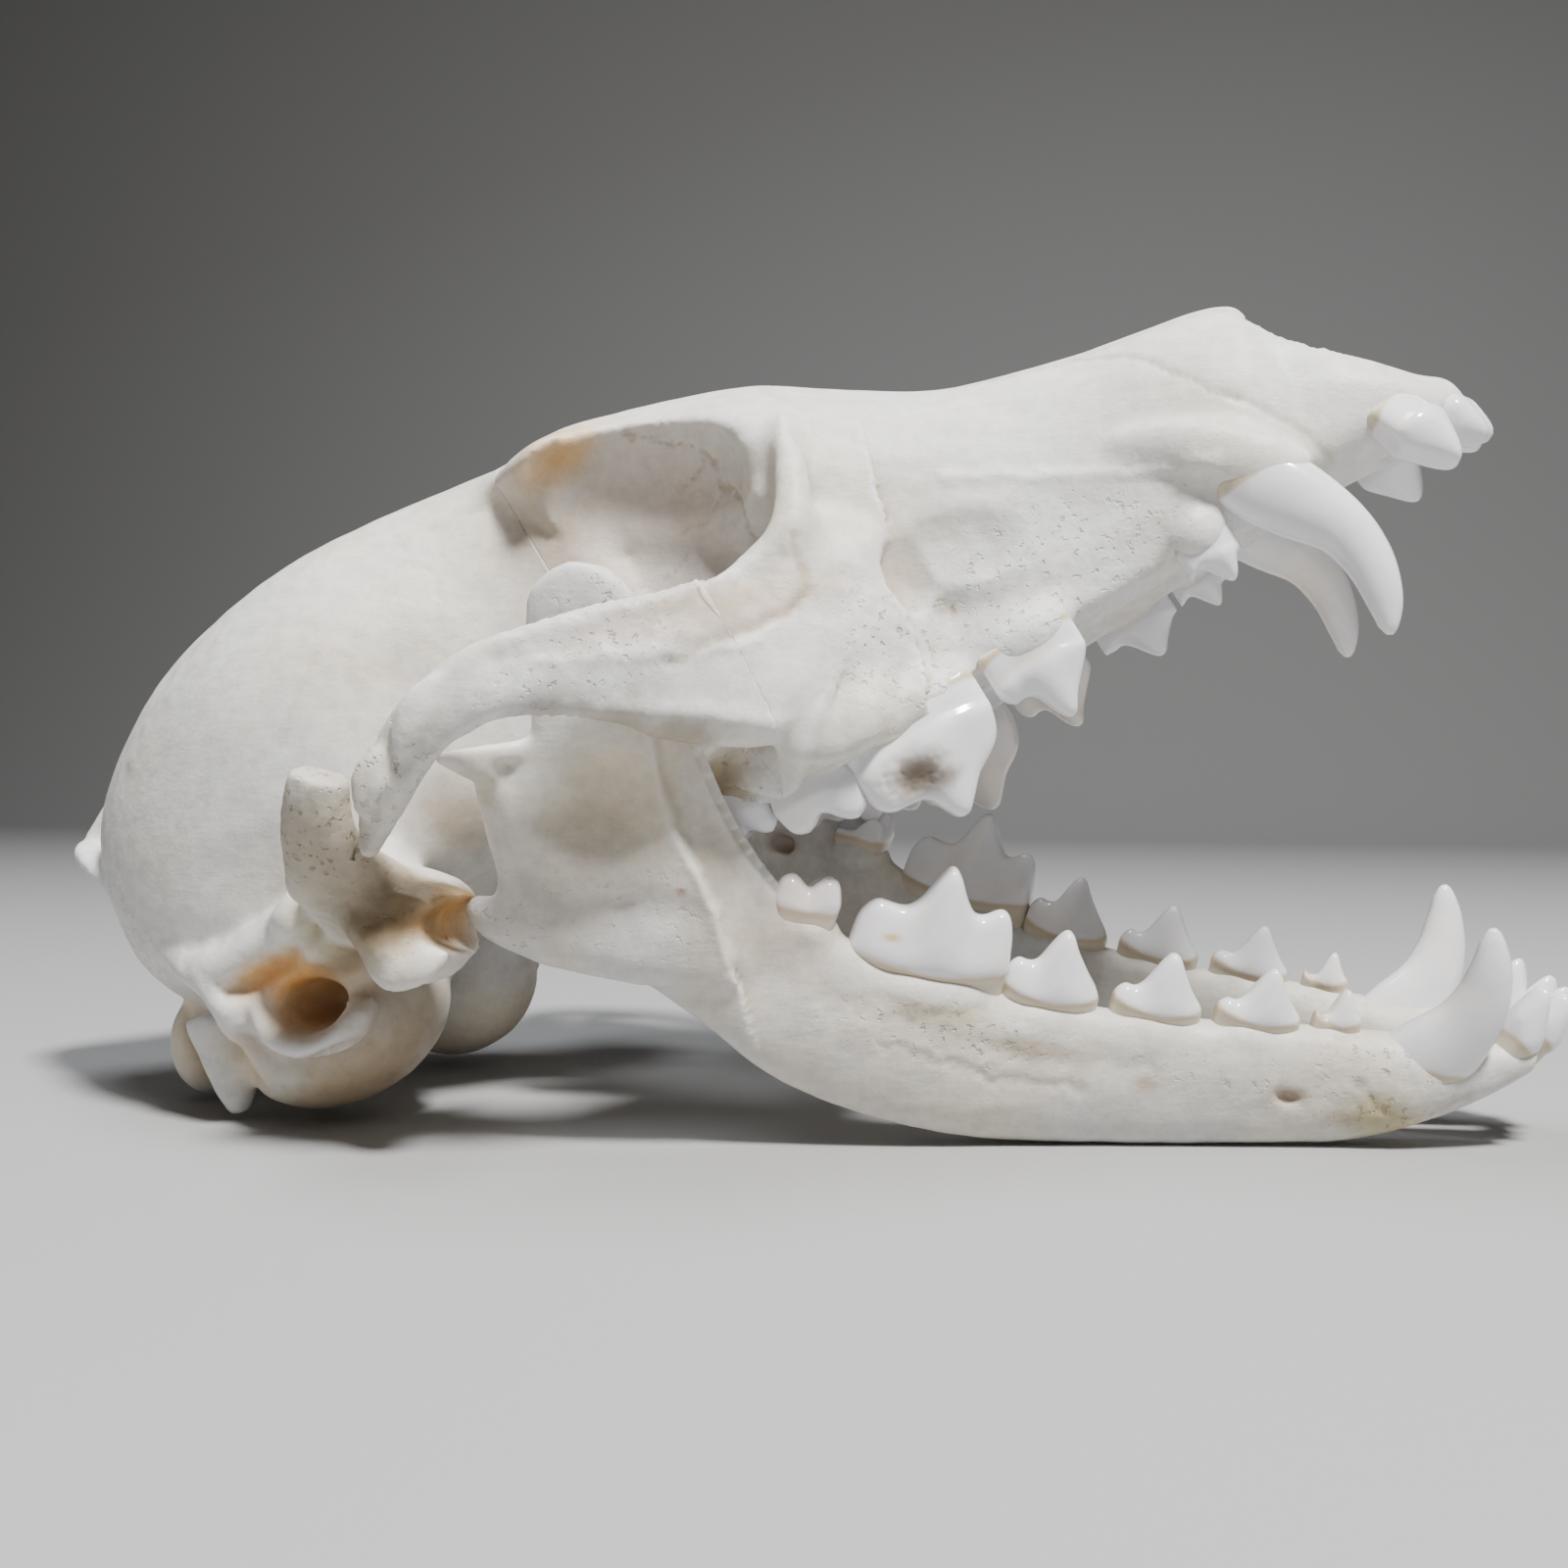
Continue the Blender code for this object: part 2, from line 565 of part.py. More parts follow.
def cranium_side(side):
    temple = TEMPLE_STUB if side == RIGHT else TEMPLE_PROCESS
    pieces = [
        bar("cheek_arch", CHEEK_ARCH, side),
        bar("temple_process", temple, side),
        bar("nuchal_crest", NUCHAL_CREST, side, outward=(1, 0.4, 0.5)),
        bar("ear_ridge", [(36, 19.0, 14.4, 7.4, 6.4), (28, 19.6, 15.0, 6.4, 6.4), (20, 19.8, 15.4, 5.4, 6.0),
                          (12, 19.4, 16.4, 4.0, 4.6)], side),
        ball("ear_shelf", (23.0, 17.4, 11.8), (10.0, 4.7, 4.6), turn=(0, 12, 0), side=side),
        bar("brow", [(60.0, 8.6, 43.4, 4.0, 4.0), (65.0, 12.6, 42.8, 4.0, 5.0), (68.2, 16.0, 41.4, 2.8, 4.4),
                     (69.0, 17.4, 40.6, 1.6, 2.4)], side, outward=(1, 0, 0)),
        ball("bulla", (19.4, 13.4, 6.7), (11.0, 7.3, 8.4), turn=(0, 4, -22), side=side),
        ball("bulla_front", (28.0, 9.2, 8.4), (4.6, 3.6, 3.8), side=side),
        ball("ear_rim", (20.8, 19.2, 7.8), (5.2, 3.8, 3.9), turn=(0, 26, 0), side=side),
        ball("mastoid", (13.0, 20.0, 11.2), (2.4, 2.4, 3.0), turn=(0, -20, 0), side=side),
        bar("paroccipital", [(9.2, 15.2, 14.0, 8.8, 7.4), (7.8, 15.6, 9.5, 6.8, 5.0), (6.8, 16.0, 6.2, 4.4, 3.2),
                             (6.0, 16.3, 3.8, 2.0, 1.8)], side),
        ball("condyle", (1.3, 7.9, 13.2), (3.8, 4.4, 5.6), turn=(12, 24, 14), side=side),
        ball("glenoid", (36.9, 24.6, 8.6), (6.7, 7.6, 4.1), turn=(0, 32, -8), side=side),
        ball("postglenoid", (35.7, 25.0, 6.7), (4.8, 6.2, 3.3), turn=(0, 28, -8), side=side),
        bar("joint_lip", [(33.0, 28.2, 7.4, 2.4, 1.8), (34.6, 29.8, 5.2, 3.0, 2.2), (37.2, 30.4, 4.3, 3.0, 2.4),
                          (39.0, 29.8, 4.7, 3.0, 2.6), (40.2, 28.6, 6.0, 2.0, 2.0)], side),
        bar("canine_root", [(124.0, 10.3, 1.0, 5.6, 3.6), (121.5, 10.4, 5.0, 6.0, 4.4), (117.5, 10.0, 9.5, 5.4, 4.2),
                            (112.5, 9.4, 13.0, 3.4, 3.0)], side),
        bar("pterygoid", [(66.0, 6.6, 6.0, 7.0, 2.4), (58.0, 6.6, 5.8, 7.6, 2.2), (51.0, 6.6, 6.6, 6.8, 2.0),
                          (46.6, 6.4, 6.6, 5.0, 1.6), (44.6, 6.2, 6.0, 2.6, 1.4)], side),
        bar("molar_shelf", [(82.0, 19.0, 3.6, 3.6, 2.4), (78.6, 20.4, 2.8, 4.6, 3.0), (75.0, 20.8, 2.9, 4.8, 3.0),
                            (71.6, 20.3, 3.0, 5.0, 2.6), (69.2, 19.6, 4.4, 4.8, 2.6), (66.6, 18.2, 6.2, 4.6, 2.6),
                            (65.0, 17.0, 7.2, 3.6, 2.2)], side),
        bar("ear_lip", [(17.6, 20.4, 12.6, 1.2, 2.0), (16.2, 21.2, 10.4, 1.6, 2.4), (16.6, 21.7, 7.8, 1.8, 2.6),
                        (18.0, 21.9, 5.7, 1.8, 2.8), (20.2, 21.9, 4.4, 1.8, 2.8), (22.8, 21.6, 3.9, 1.6, 2.6),
                        (25.2, 20.8, 4.5, 1.4, 2.2), (26.4, 19.6, 5.8, 1.0, 1.8)], side),
        ball("temple_foot", (29.0, 22.4, 14.0), (6.2, 4.2, 4.6), turn=(0, 10, 0), side=side),
        bar("socket_rim", [(86.6, 16.4, 31.0, 3.0, 2.6), (86.9, 17.6, 28.2, 3.4, 3.2), (86.2, 18.8, 24.2, 4.0, 3.6),
                           (84.0, 20.2, 20.6, 4.2, 3.8), (80.9, 21.8, 18.8, 4.2, 3.6), (77.4, 24.4, 18.2, 4.0, 3.4),
                           (73.6, 27.4, 18.2, 3.0, 3.0)], side),
        bar("cheek_foot", [(73.6, 22.4, 4.8, 2.0, 2.0), (75.6, 22.4, 4.2, 6.0, 3.4), (78.6, 21.8, 3.8, 6.8, 4.0),
                           (82.0, 20.0, 5.0, 6.0, 3.6), (84.8, 18.4, 6.4, 3.0, 2.0)], side),
    ]
    for name, (x, y, z, heading, lean, length, width, profile) in UPPER_BLADES.items():
        if name.startswith("P") and not (side == RIGHT and name in MISSING_RIGHT):
            swell = (length * 0.54, width * 0.5 + 0.8, 2.8)
            pieces.append(ball("root_swell", (x, y - 0.3, z + 2.0), swell, turn=(0, 0, heading), side=side))
    return pieces


def cranium_hollows(side):
    return [
        ball("eye_socket", (72.0, 24.4, 32.2), (16.0, 15.6, 12.0), turn=(0, 6, 8), side=side, detail=32),
        ball("cheek_trough", (97.4, 18.0, 12.2), (10.0, 4.8, 6.6), turn=(0, 12, -13), side=side),
        ball("face_canal", (91.6, 17.0, 12.6), (2.6, 2.6, 4.2), turn=(0, 12, -13), side=side),
        ball("ear_hole", (21.4, 21.8, 8.3), (3.7, 7.0, 2.7), turn=(0, 26, 0), side=side),
        ball("joint_hollow", (41.7, 26.0, 5.8), (3.6, 9.0, 2.5), turn=(0, 30, -8), side=side),
        ball("joint_face", (38.4, 36.4, 9.0), (7.0, 7.2, 4.4), turn=(0, 32, 0), side=side),
    ]


def thin_cut(name, cut, side):
    (x, y, z), (width, height), (roll, pitch, yaw) = cut
    return box(name, (x, y * side, z), (PART_GAP, width, height), turn=(roll, pitch, yaw * side))


def part_cranium(bone):
    """Part the skinned cranium with thin cuts into its nodes."""
    cuts = [
        thin_cut("neck_cut", NECK_CUT, LEFT),
        thin_cut("cheek_cut", CHEEK_CUT, RIGHT),
        thin_cut("cheek_cut", CHEEK_CUT, LEFT),
        thin_cut("temple_cut", TEMPLE_CUT, LEFT),
        thin_cut("broken_gap", BROKEN_GAP, LEFT),
    ]
    boolean(bone, "DIFFERENCE", cuts)
    named = {}
    for piece in split(bone):
        middle = sum((Vector(corner) for corner in piece.bound_box), Vector()) / 8
        if abs(middle.y) > ARCH_SIDE:
            name = "zygomatic_arch_left" if middle.y > 0 else "zygomatic_arch_right"
        else:
            name = "braincase" if middle.x < NECK_SIDE else "snout"
        if name in named:
            discard([piece])
        else:
            piece.name = name
            piece.data.name = name
            named[name] = piece
    return named


# Lower jaw: x, distance from the middle, half thickness, top, bottom
JAW_BODY = [
    (24.0, 22.2, 2.0, 18.8, 6.4),
    (30.0, 20.8, 2.5, 18.2, 3.2),
    (36.0, 19.0, 2.9, 15.8, -0.4),
    (42.0, 17.2, 3.1, 13.0, -2.3),
    (50.0, 15.2, 3.2, 11.2, -3.5),
    (58.0, 13.0, 3.1, 10.6, -3.4),
    (66.0, 11.2, 2.9, 10.8, -2.4),
    (74.0, 9.6, 2.8, 11.2, -1.2),
    (82.0, 8.1, 2.9, 12.2, 0.5),
    (89.0, 6.6, 3.3, 12.8, 1.8),
    (94.5, 5.2, 3.9, 13.2, 4.3),
    (99.5, 4.2, 3.5, 14.0, 7.5),
    (104.2, 3.4, 2.9, 14.8, 11.8),
]

# Ramus, from its lower edge up: z, rear edge, front edge, half thickness, distance from the middle
RAMUS = [
    (6.9, 14.0, 26.0, 1.6, 23.4),
    (8.4, 9.6, 33.0, 2.2, 23.6),
    (11.4, 8.8, 34.0, 2.4, 23.8),
    (15.0, 9.4, 33.4, 2.3, 24.0),
    (19.0, 8.6, 30.6, 2.2, 24.4),
    (23.0, 8.2, 27.8, 1.9, 24.8),
    (27.0, 10.4, 25.6, 1.7, 25.2),
    (31.0, 10.2, 24.0, 1.6, 25.2),
    (36.0, 9.0, 21.2, 1.5, 25.0),
    (40.0, 8.6, 19.0, 1.4, 24.8),
    (42.2, 10.0, 17.0, 1.2, 24.7),
    (43.4, 11.8, 14.8, 0.8, 24.6),
]


def ramus_plate(side, sides=28, steps=3):
    """The upright plate of the jaw, thin, bowed outward, with rounded edges."""
    rings = []
    for z, rear, front, half, away in smooth_rows(RAMUS, steps):
        middle = (rear + front) / 2
        reach = (front - rear) / 2
        ring = []
        for i in range(sides):
            angle = 2 * math.pi * i / sides
            c = math.copysign(abs(math.cos(angle)) ** 0.8, math.cos(angle))
            s = math.copysign(abs(math.sin(angle)) ** 0.8, math.sin(angle))
            x = middle + reach * c
            fold = 22.0 + max(0.0, 28.4 - z) * 0.58
            plan = away + (20.0 - x) * 0.13 - max(0.0, x - fold) * 0.42
            ring.append(Vector((x, (plan + half * s) * side, z)))
        rings.append(ring)
    return loft("ramus", rings)


def jaw_bone(side):
    rings = []
    for x, away, half, top, bottom in smooth_rows(JAW_BODY, 3):
        row = section((x, half, top, bottom + (top - bottom) * 0.55, bottom), 28, 0.8)
        rings.append([Vector((p.x, (away + p.y) * side, p.z)) for p in row])
    bone = loft("jaw", rings)
    added = [
        ramus_plate(side),
        bar("front_edge", [(35.0, 19.2, 14.0, 4.0, 4.2), (30.6, 20.6, 18.6, 3.4, 3.4), (27.2, 22.2, 23.6, 2.8, 2.8),
                           (24.2, 23.2, 29.0, 2.4, 2.2), (20.2, 24.2, 36.0, 2.2, 1.8)], side),
        bar("condyle", [(9.0, 18.8, 22.6, 2.2, 2.4), (8.6, 21.6, 23.4, 4.4, 4.2), (7.8, 25.2, 24.0, 4.0, 4.0),
                        (6.6, 29.0, 24.6, 2.6, 3.2), (5.4, 31.4, 25.1, 1.4, 2.0), (4.8, 32.4, 25.3, 0.8, 1.0)], side,
            outward=(1, 0, 0)),
        bar("condyle_crest", [(5.4, 31.2, 25.3, 1.4, 1.2), (8.0, 28.6, 25.9, 1.8, 1.6), (10.6, 26.6, 26.6, 2.2, 2.0),
                              (13.6, 25.6, 28.6, 2.4, 2.4)], side),
        bar("neck", [(12.0, 25.0, 14.0, 5.0, 3.6), (9.6, 25.4, 19.0, 4.6, 3.6), (8.0, 25.6, 23.4, 4.6, 4.0)], side),
        bar("angle", [(18.0, 23.8, 9.4, 5.0, 3.6), (12.0, 24.6, 9.6, 4.6, 3.4), (8.4, 24.8, 10.4, 3.6, 2.8),
                      (6.6, 24.8, 11.4, 1.8, 1.8)], side),
    ]
    removed = [
        ball("muscle_hollow", (19.4, 30.6, 21.6), (8.6, 4.6, 11.0), turn=(0, -14, 0), side=side, detail=24),
        box("symphysis", (100, -10 * side + 0.5 * PART_GAP * side, 10), (60, 20, 60)),
    ]
    shift = LEFT_ROW_SHIFT if side == LEFT else 0.0
    for name, (x, y, z, heading, lean, length, width, profile) in LOWER_BLADES.items():
        if not name.startswith("i"):
            swell = (length * 0.54, width * 0.5 + 0.7, 2.5)
            added.append(ball("root_swell", (x + shift, y, z - 1.8), swell, turn=(0, 0, heading), side=side))
    for x, y, z, heading, length, width, cusps in LOWER_MILLS.values():
        swell = (length * 0.56, width * 0.5 + 0.7, 2.6)
        added.append(ball("root_swell", (x, y, z - 1.8), swell, turn=(0, 0, heading), side=side))
    boolean(bone, "UNION", added)
    boolean(bone, "DIFFERENCE", removed)
    return bone


def material(name, colour, rough):
    finish = bpy.data.materials.new(name)
    finish.use_nodes = True
    shader = finish.node_tree.nodes["Principled BSDF"]
    shader.inputs["Base Color"].default_value = (*colour, 1.0)
    shader.inputs["Roughness"].default_value = rough
    shader.inputs["Metallic"].default_value = 0.0
    return finish


NODE_COLOURS = {
    "braincase": (0.86, 0.84, 0.80),
    "snout": (0.88, 0.87, 0.84),
    "zygomatic_arch_right": (0.85, 0.83, 0.78),
    "zygomatic_arch_left": (0.85, 0.83, 0.78),
    "mandible_right": (0.87, 0.85, 0.81),
    "mandible_left": (0.84, 0.82, 0.78),
}


def build():
    nodes = part_cranium(skin(cranium_bone(), CRANIUM_VOXEL, 4, CRANIUM_FACES))
    teeth = tooth_set(UPPER_BLADES, UPPER_MILLS, UPPER_FANG, RIGHT, -1, missing=MISSING_RIGHT)
    teeth += tooth_set(UPPER_BLADES, UPPER_MILLS, UPPER_FANG, LEFT, -1)
    keep_largest(boolean(nodes["snout"], "UNION", teeth))
    jaw_nodes = {}
    for side, name in ((RIGHT, "mandible_right"), (LEFT, "mandible_left")):
        half = skin(jaw_bone(side), JAW_VOXEL, 3, JAW_FACES)
        keep_largest(boolean(half, "UNION", tooth_set(LOWER_BLADES, LOWER_MILLS, LOWER_FANG, side, 1,
                                                 forward=LEFT_ROW_SHIFT if side == LEFT else 0.0)))
        half.name = name
        half.data.name = name
        jaw_nodes[name] = half
    return nodes, jaw_nodes


def pose(nodes, jaw_nodes):
    """Hang the pieces on two empties in the pose and centre the whole on its base."""
    skull = bpy.data.collections.new(NAME)
    bpy.context.scene.collection.children.link(skull)
    stand = bpy.data.objects.new("resting_place", None)
    upper = bpy.data.objects.new("cranium_pose", None)
    lower = bpy.data.objects.new("jaw_pose", None)
    upper.rotation_euler = (0.0, -math.radians(CRANIUM_PITCH), 0.0)
    lower.rotation_euler = [math.radians(a) for a in (JAW_ROLL, JAW_PITCH, JAW_YAW)]
    upper.location = Vector((0.0, 0.0, CRANIUM_LIFT)) * MM
    lower.location = Vector(JAW_PLACE) * MM
    for empty in (stand, upper, lower):
        skull.objects.link(empty)
    upper.parent = stand
    lower.parent = stand
    for group, parent in ((nodes, upper), (jaw_nodes, lower)):
        for name, obj in group.items():
            obj.data.transform(Matrix.Scale(MM, 4))
            obj.parent = parent
            bpy.context.scene.collection.objects.unlink(obj)
            skull.objects.link(obj)
            obj.data.materials.clear()
            obj.data.materials.append(material(name, NODE_COLOURS[name], 0.5))
    bpy.context.view_layer.update()
    corners = []
    for obj in [*nodes.values(), *jaw_nodes.values()]:
        corners += [obj.matrix_world @ vert.co for vert in obj.data.vertices]
    low = Vector([min(c[i] for c in corners) for i in range(3)])
    high = Vector([max(c[i] for c in corners) for i in range(3)])
    stand.location = Vector((-(low.x + high.x) / 2, -(low.y + high.y) / 2, -low.z))
    bpy.context.view_layer.update()
    return stand.location


def main():
    for obj in list(bpy.data.objects):
        bpy.data.objects.remove(obj)
    nodes, jaw_nodes = build()
    offset = pose(nodes, jaw_nodes)
    for name, obj in {**nodes, **jaw_nodes}.items():
        obj.data.calc_loop_triangles()
        print(name, len(obj.data.loop_triangles), "triangles")
    print("offset", [round(v / MM, 3) for v in offset])


main()
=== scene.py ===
"""The finish of a life-size fox skull that lies with its jaws wide open.

Bone and teeth are drawn in millimetres, the cranium and the lower jaw each in a frame of its own:
x runs forward from the hinge end, y to the animal's left and z up from the tooth sockets or the
jaw's lower edge. At the end they are set down in metres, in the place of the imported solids.
"""
import math

import bmesh
import bpy
import numpy as np
from mathutils import Euler, Matrix, Vector, noise


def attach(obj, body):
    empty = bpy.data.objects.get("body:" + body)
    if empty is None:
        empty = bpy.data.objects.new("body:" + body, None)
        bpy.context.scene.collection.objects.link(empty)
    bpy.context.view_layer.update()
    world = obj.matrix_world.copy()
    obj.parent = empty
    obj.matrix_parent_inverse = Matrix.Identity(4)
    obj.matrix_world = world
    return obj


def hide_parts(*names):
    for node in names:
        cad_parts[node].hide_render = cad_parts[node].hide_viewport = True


RIGHT = -1
LEFT = 1
PAIR = (RIGHT, LEFT)
MIDDLE = (0,)
MM = 0.001

# Where the two frames lie on the floor, in millimetres and degrees
BASE_SHIFT = (-52.048, 0.007, -0.047)
CRANIUM_PITCH = 32.05
CRANIUM_LIFT = -5.73
JAW_TURN = (8.1, 11.3, 2.6)
JAW_PLACE = (21.9, 2.5, 17)

# How finely bone and enamel are worked, and how often each is softened
CRANIUM_GRAIN = 0.42
CRANIUM_SOFTENING = 8
JAW_GRAIN = 0.36
JAW_SOFTENING = 6
TOOTH_GRAIN = 0.24
TOOTH_SOFTENING = 15
PIECE_TRIANGLES = 180000
BODY_SIDES = 56
JAW_SIDES = 40
JAW_SQUARE = 0.8
ROW_STEPS = 4
TOOTH_STEPS = 5
FANG_SIDES = 28
JOIN_STEPS = 8
SPOT_END = 6

# Cuts that part the bones: width, centre, length and height, and turns in degrees on the left side
HAIR_GAP = 0.02
BROKEN_WIDTH = 0.3
SYMPHYSIS_GAP = 0.3
NECK_CUT = ((61, 0, 25), (40, 80), (0, 0, 0))
CHEEK_CUT = ((74.6, 25.3, 14), (14.4, 32), (0, 0, -38))
TEMPLE_CUT = ((36.2, 31.6, 17.8), (12, 16), (0, -32, 57))
BROKEN_GAP = ((41.5, 34.5, 18.2), (9, 9), (0, 45, 0))
CRANIUM_PIECES = 4
ARCH_SIDE = 15
NECK_SIDE = 50

# Sections of the braincase: x, half width, top, height of the widest point, bottom, squareness
BRAINCASE = [
    (-1.4, 6, 40.2, 31, 26, 1.1),
    (1, 11.5, 43, 27, 19, 1.12),
    (4, 16.2, 45.3, 24, 13, 1.1),
    (9, 19.8, 47.8, 23.5, 11, 1.05),
    (16, 22.4, 50, 25, 10.3, 0.98),
    (24, 23.7, 51.3, 28.5, 10, 0.93),
    (32, 23.8, 51.6, 31.5, 10, 0.9),
    (40, 21.8, 51.7, 33, 10.4, 0.9),
    (47, 17.8, 51.2, 33.5, 10.6, 0.92),
    (53, 14.2, 50.3, 34, 10.8, 0.94),
    (58, 12.4, 49.3, 35, 11, 0.94),
    (62.5, 11.4, 48, 36.5, 12, 0.94),
    (67, 11.2, 46.8, 37.5, 13, 0.94),
]

# Sections of the forehead and muzzle, down to the nasal tip
MUZZLE = [
    (55, 9.5, 48.9, 42.5, 34),
    (60, 10.8, 48.1, 42, 32),
    (65, 14, 46.9, 41.5, 31.5),
    (69, 15.6, 46.2, 40.5, 30),
    (74, 14.6, 45.1, 37.5, 26.5),
    (79, 14.2, 43.3, 34, 21),
    (84, 15.4, 41.2, 28.5, 12),
    (88, 15.8, 39.2, 22.5, 4.5),
    (92, 15.4, 36.3, 16, 1),
    (97, 14.2, 32.5, 11.5, 0.2),
    (102, 12.8, 29.3, 8.5, 0),
    (108, 11.4, 26.8, 7, 0),
    (114, 10.7, 24.8, 6.5, 0),
    (119, 10.9, 23.3, 6, 0),
    (123.5, 10.8, 22.1, 5.5, -0.3),
    (127.4, 9.4, 21, 6.5, -0.5),
    (129.6, 6.4, 19.9, 9, 1.5),
]

# Sections of the premaxillae, which carry the incisors
PREMAXILLA = [
    (120, 9.6, 19, 5, -0.2),
    (126, 9.4, 19, 5, -0.4),
    (129, 8.7, 19.2, 4.5, -0.6),
    (132, 8.1, 15.6, 3.6, -0.8),
    (135.6, 7.5, 9.8, 2.4, -1.2),
    (138.6, 6.6, 5.4, 1.2, -1.5),
    (141, 5, 3.4, 0.4, -1.8),
]

# Sections of the thin wall between the eye sockets, down to the palate's rear
ORBIT_WALL = [
    (50, 11, 40, 25, 10.6),
    (57, 9.9, 40, 25, 8.5),
    (62, 9.2, 40, 24, 3.6),
    (68, 8.8, 40, 22, 1.6),
    (75, 9, 38, 20, 1.2),
    (82, 10.4, 34, 17, 1),
    (88, 12.5, 29, 14, 1),
    (93, 12.8, 24, 12, 1),
]

# Sections of the tooth-bearing upper jaw
UPPER_JAW = [
    (62.6, 11, 8, 6, 4.6),
    (64.6, 17, 9.6, 6, 4),
    (68, 19.8, 11, 5.2, 2.8),
    (73, 20.6, 12.5, 4.6, 1.2),
    (79, 20, 13, 3.8, -0.2),
    (85, 17.6, 12.5, 3.4, -0.3),
    (91, 15.2, 12, 3, -0.2),
    (98, 13.2, 11, 3, 0),
    (106, 11.2, 10, 3, 0),
    (114, 10.2, 9, 3, 0),
    (122, 10.6, 9, 3, -0.2),
]

# The cheek arch: x, distance from the middle, height, depth of the bar, its thickness
CHEEK_ARCH = [
    (90, 12, 12.5, 21, 7),
    (84, 16.8, 12.9, 20, 7),
    (78.5, 20.8, 13, 18, 6.4),
    (74, 24.8, 13.4, 16, 5.4),
    (70.4, 29, 14.8, 13.2, 4.2),
    (67, 32.3, 17.1, 10.4, 3.7),
    (63.2, 34.2, 18.8, 8.4, 3.5),
    (58, 35.4, 20.6, 7.1, 3.3),
    (53.8, 35.6, 20.8, 6.4, 3),
    (50.3, 35.5, 20.3, 5.8, 2.8),
    (47, 35.2, 18.8, 5, 2.7),
    (44, 34.9, 16.9, 3.8, 2.4),
    (42, 34.6, 15.4, 2.6, 2.1),
    (40.5, 34.4, 14.1, 1.4, 1.6),
]

# The temple's process that reaches out to the arch, broken short on the right: same columns
TEMPLE_STUB = [
    (33.5, 17, 12.6, 16, 7),
    (33.8, 22, 13, 14, 6.6),
    (34.4, 26.6, 13.9, 11, 6.2),
    (35.4, 30.4, 16.2, 8.4, 5.4),
    (37.2, 33.2, 19, 6.8, 4.4),
    (40.6, 35, 22.3, 5.4, 3.6),
]
TEMPLE_PROCESS = TEMPLE_STUB[:-1] + [
    (40.2, 34.9, 22, 5, 3.6),
    (45, 35.5, 24.6, 4.2, 3),
    (51, 35.6, 25.4, 3, 2.6),
    (56.5, 35.5, 23.8, 1.8, 2.2),
]

# The back edge of the skull, where the roof meets the occiput: x, side, height, depth, thickness
NUCHAL_CREST = [
    (-5.4, 0, 40.6, 4.4, 2.4),
    (-2.9, 4.6, 38.4, 4.2, 2.2),
    (1.4, 9.6, 33.7, 4.2, 2.2),
    (5.9, 14.2, 27, 4, 2.2),
    (9.6, 18.2, 20.6, 4, 2.4),
    (12.6, 21, 14.8, 3.6, 2.6),
    (15, 21.6, 11.5, 3.4, 2.6),
]

# Lower jaw: x, distance from the middle, half thickness, top, bottom
JAW_BODY = [
    (24, 22.2, 2, 18.8, 6.4),
    (30, 20.8, 2.5, 18.2, 3.2),
    (36, 19, 2.9, 15.8, -0.4),
    (42, 17.2, 3.1, 13, -2.3),
    (50, 15.2, 3.2, 11.2, -3.5),
    (58, 13, 3.1, 10.6, -3.4),
    (66, 11.2, 2.9, 10.8, -2.4),
    (74, 9.6, 2.8, 11.2, -1.2),
    (82, 8.1, 2.9, 12.2, 0.5),
    (89, 6.6, 3.3, 12.8, 1.8),
    (94.5, 5.2, 3.9, 13.2, 4.3),
    (99.5, 4.2, 3.5, 14, 7.5),
    (104.2, 3.4, 2.9, 14.8, 11.8),
]

# Ramus, from its lower edge up: z, rear edge, front edge, half thickness, distance from the middle
RAMUS = [
    (6.9, 14, 26, 1.6, 23.4),
    (8.4, 9.6, 33, 2.2, 23.6),
    (11.4, 8.8, 34, 2.4, 23.8),
    (15, 9.4, 33.4, 2.3, 24),
    (19, 8.6, 30.6, 2.2, 24.4),
    (23, 8.2, 27.8, 1.9, 24.8),
    (27, 10.4, 25.6, 1.7, 25.2),
    (31, 10.2, 24, 1.6, 25.2),
    (36, 9, 21.2, 1.5, 25),
    (40, 8.6, 19, 1.4, 24.8),
    (42.2, 10, 17, 1.2, 24.7),
    (43.4, 11.8, 14.8, 0.8, 24.6),
]

TOOTH_ROOT = 2.6


def pointed(height, tip=0.1, heel=0.35):
    """The outline of a premolar: a point, a small cusp behind it and a lip in front."""
    low = heel * height
    return [
        (-0.5, 1.2), (-0.47, 0.8 * low), (-0.38, low + 0.2), (-0.28, low), (-0.18, 0.5 * low + 0.3 * height),
        (tip - 0.12, 0.84 * height), (tip - 0.03, height), (tip + 0.05, 0.97 * height),
        (tip + 0.14, 0.76 * height), (0.34, 0.5 * height), (0.45, 0.32 * height), (0.5, 1.2),
    ]


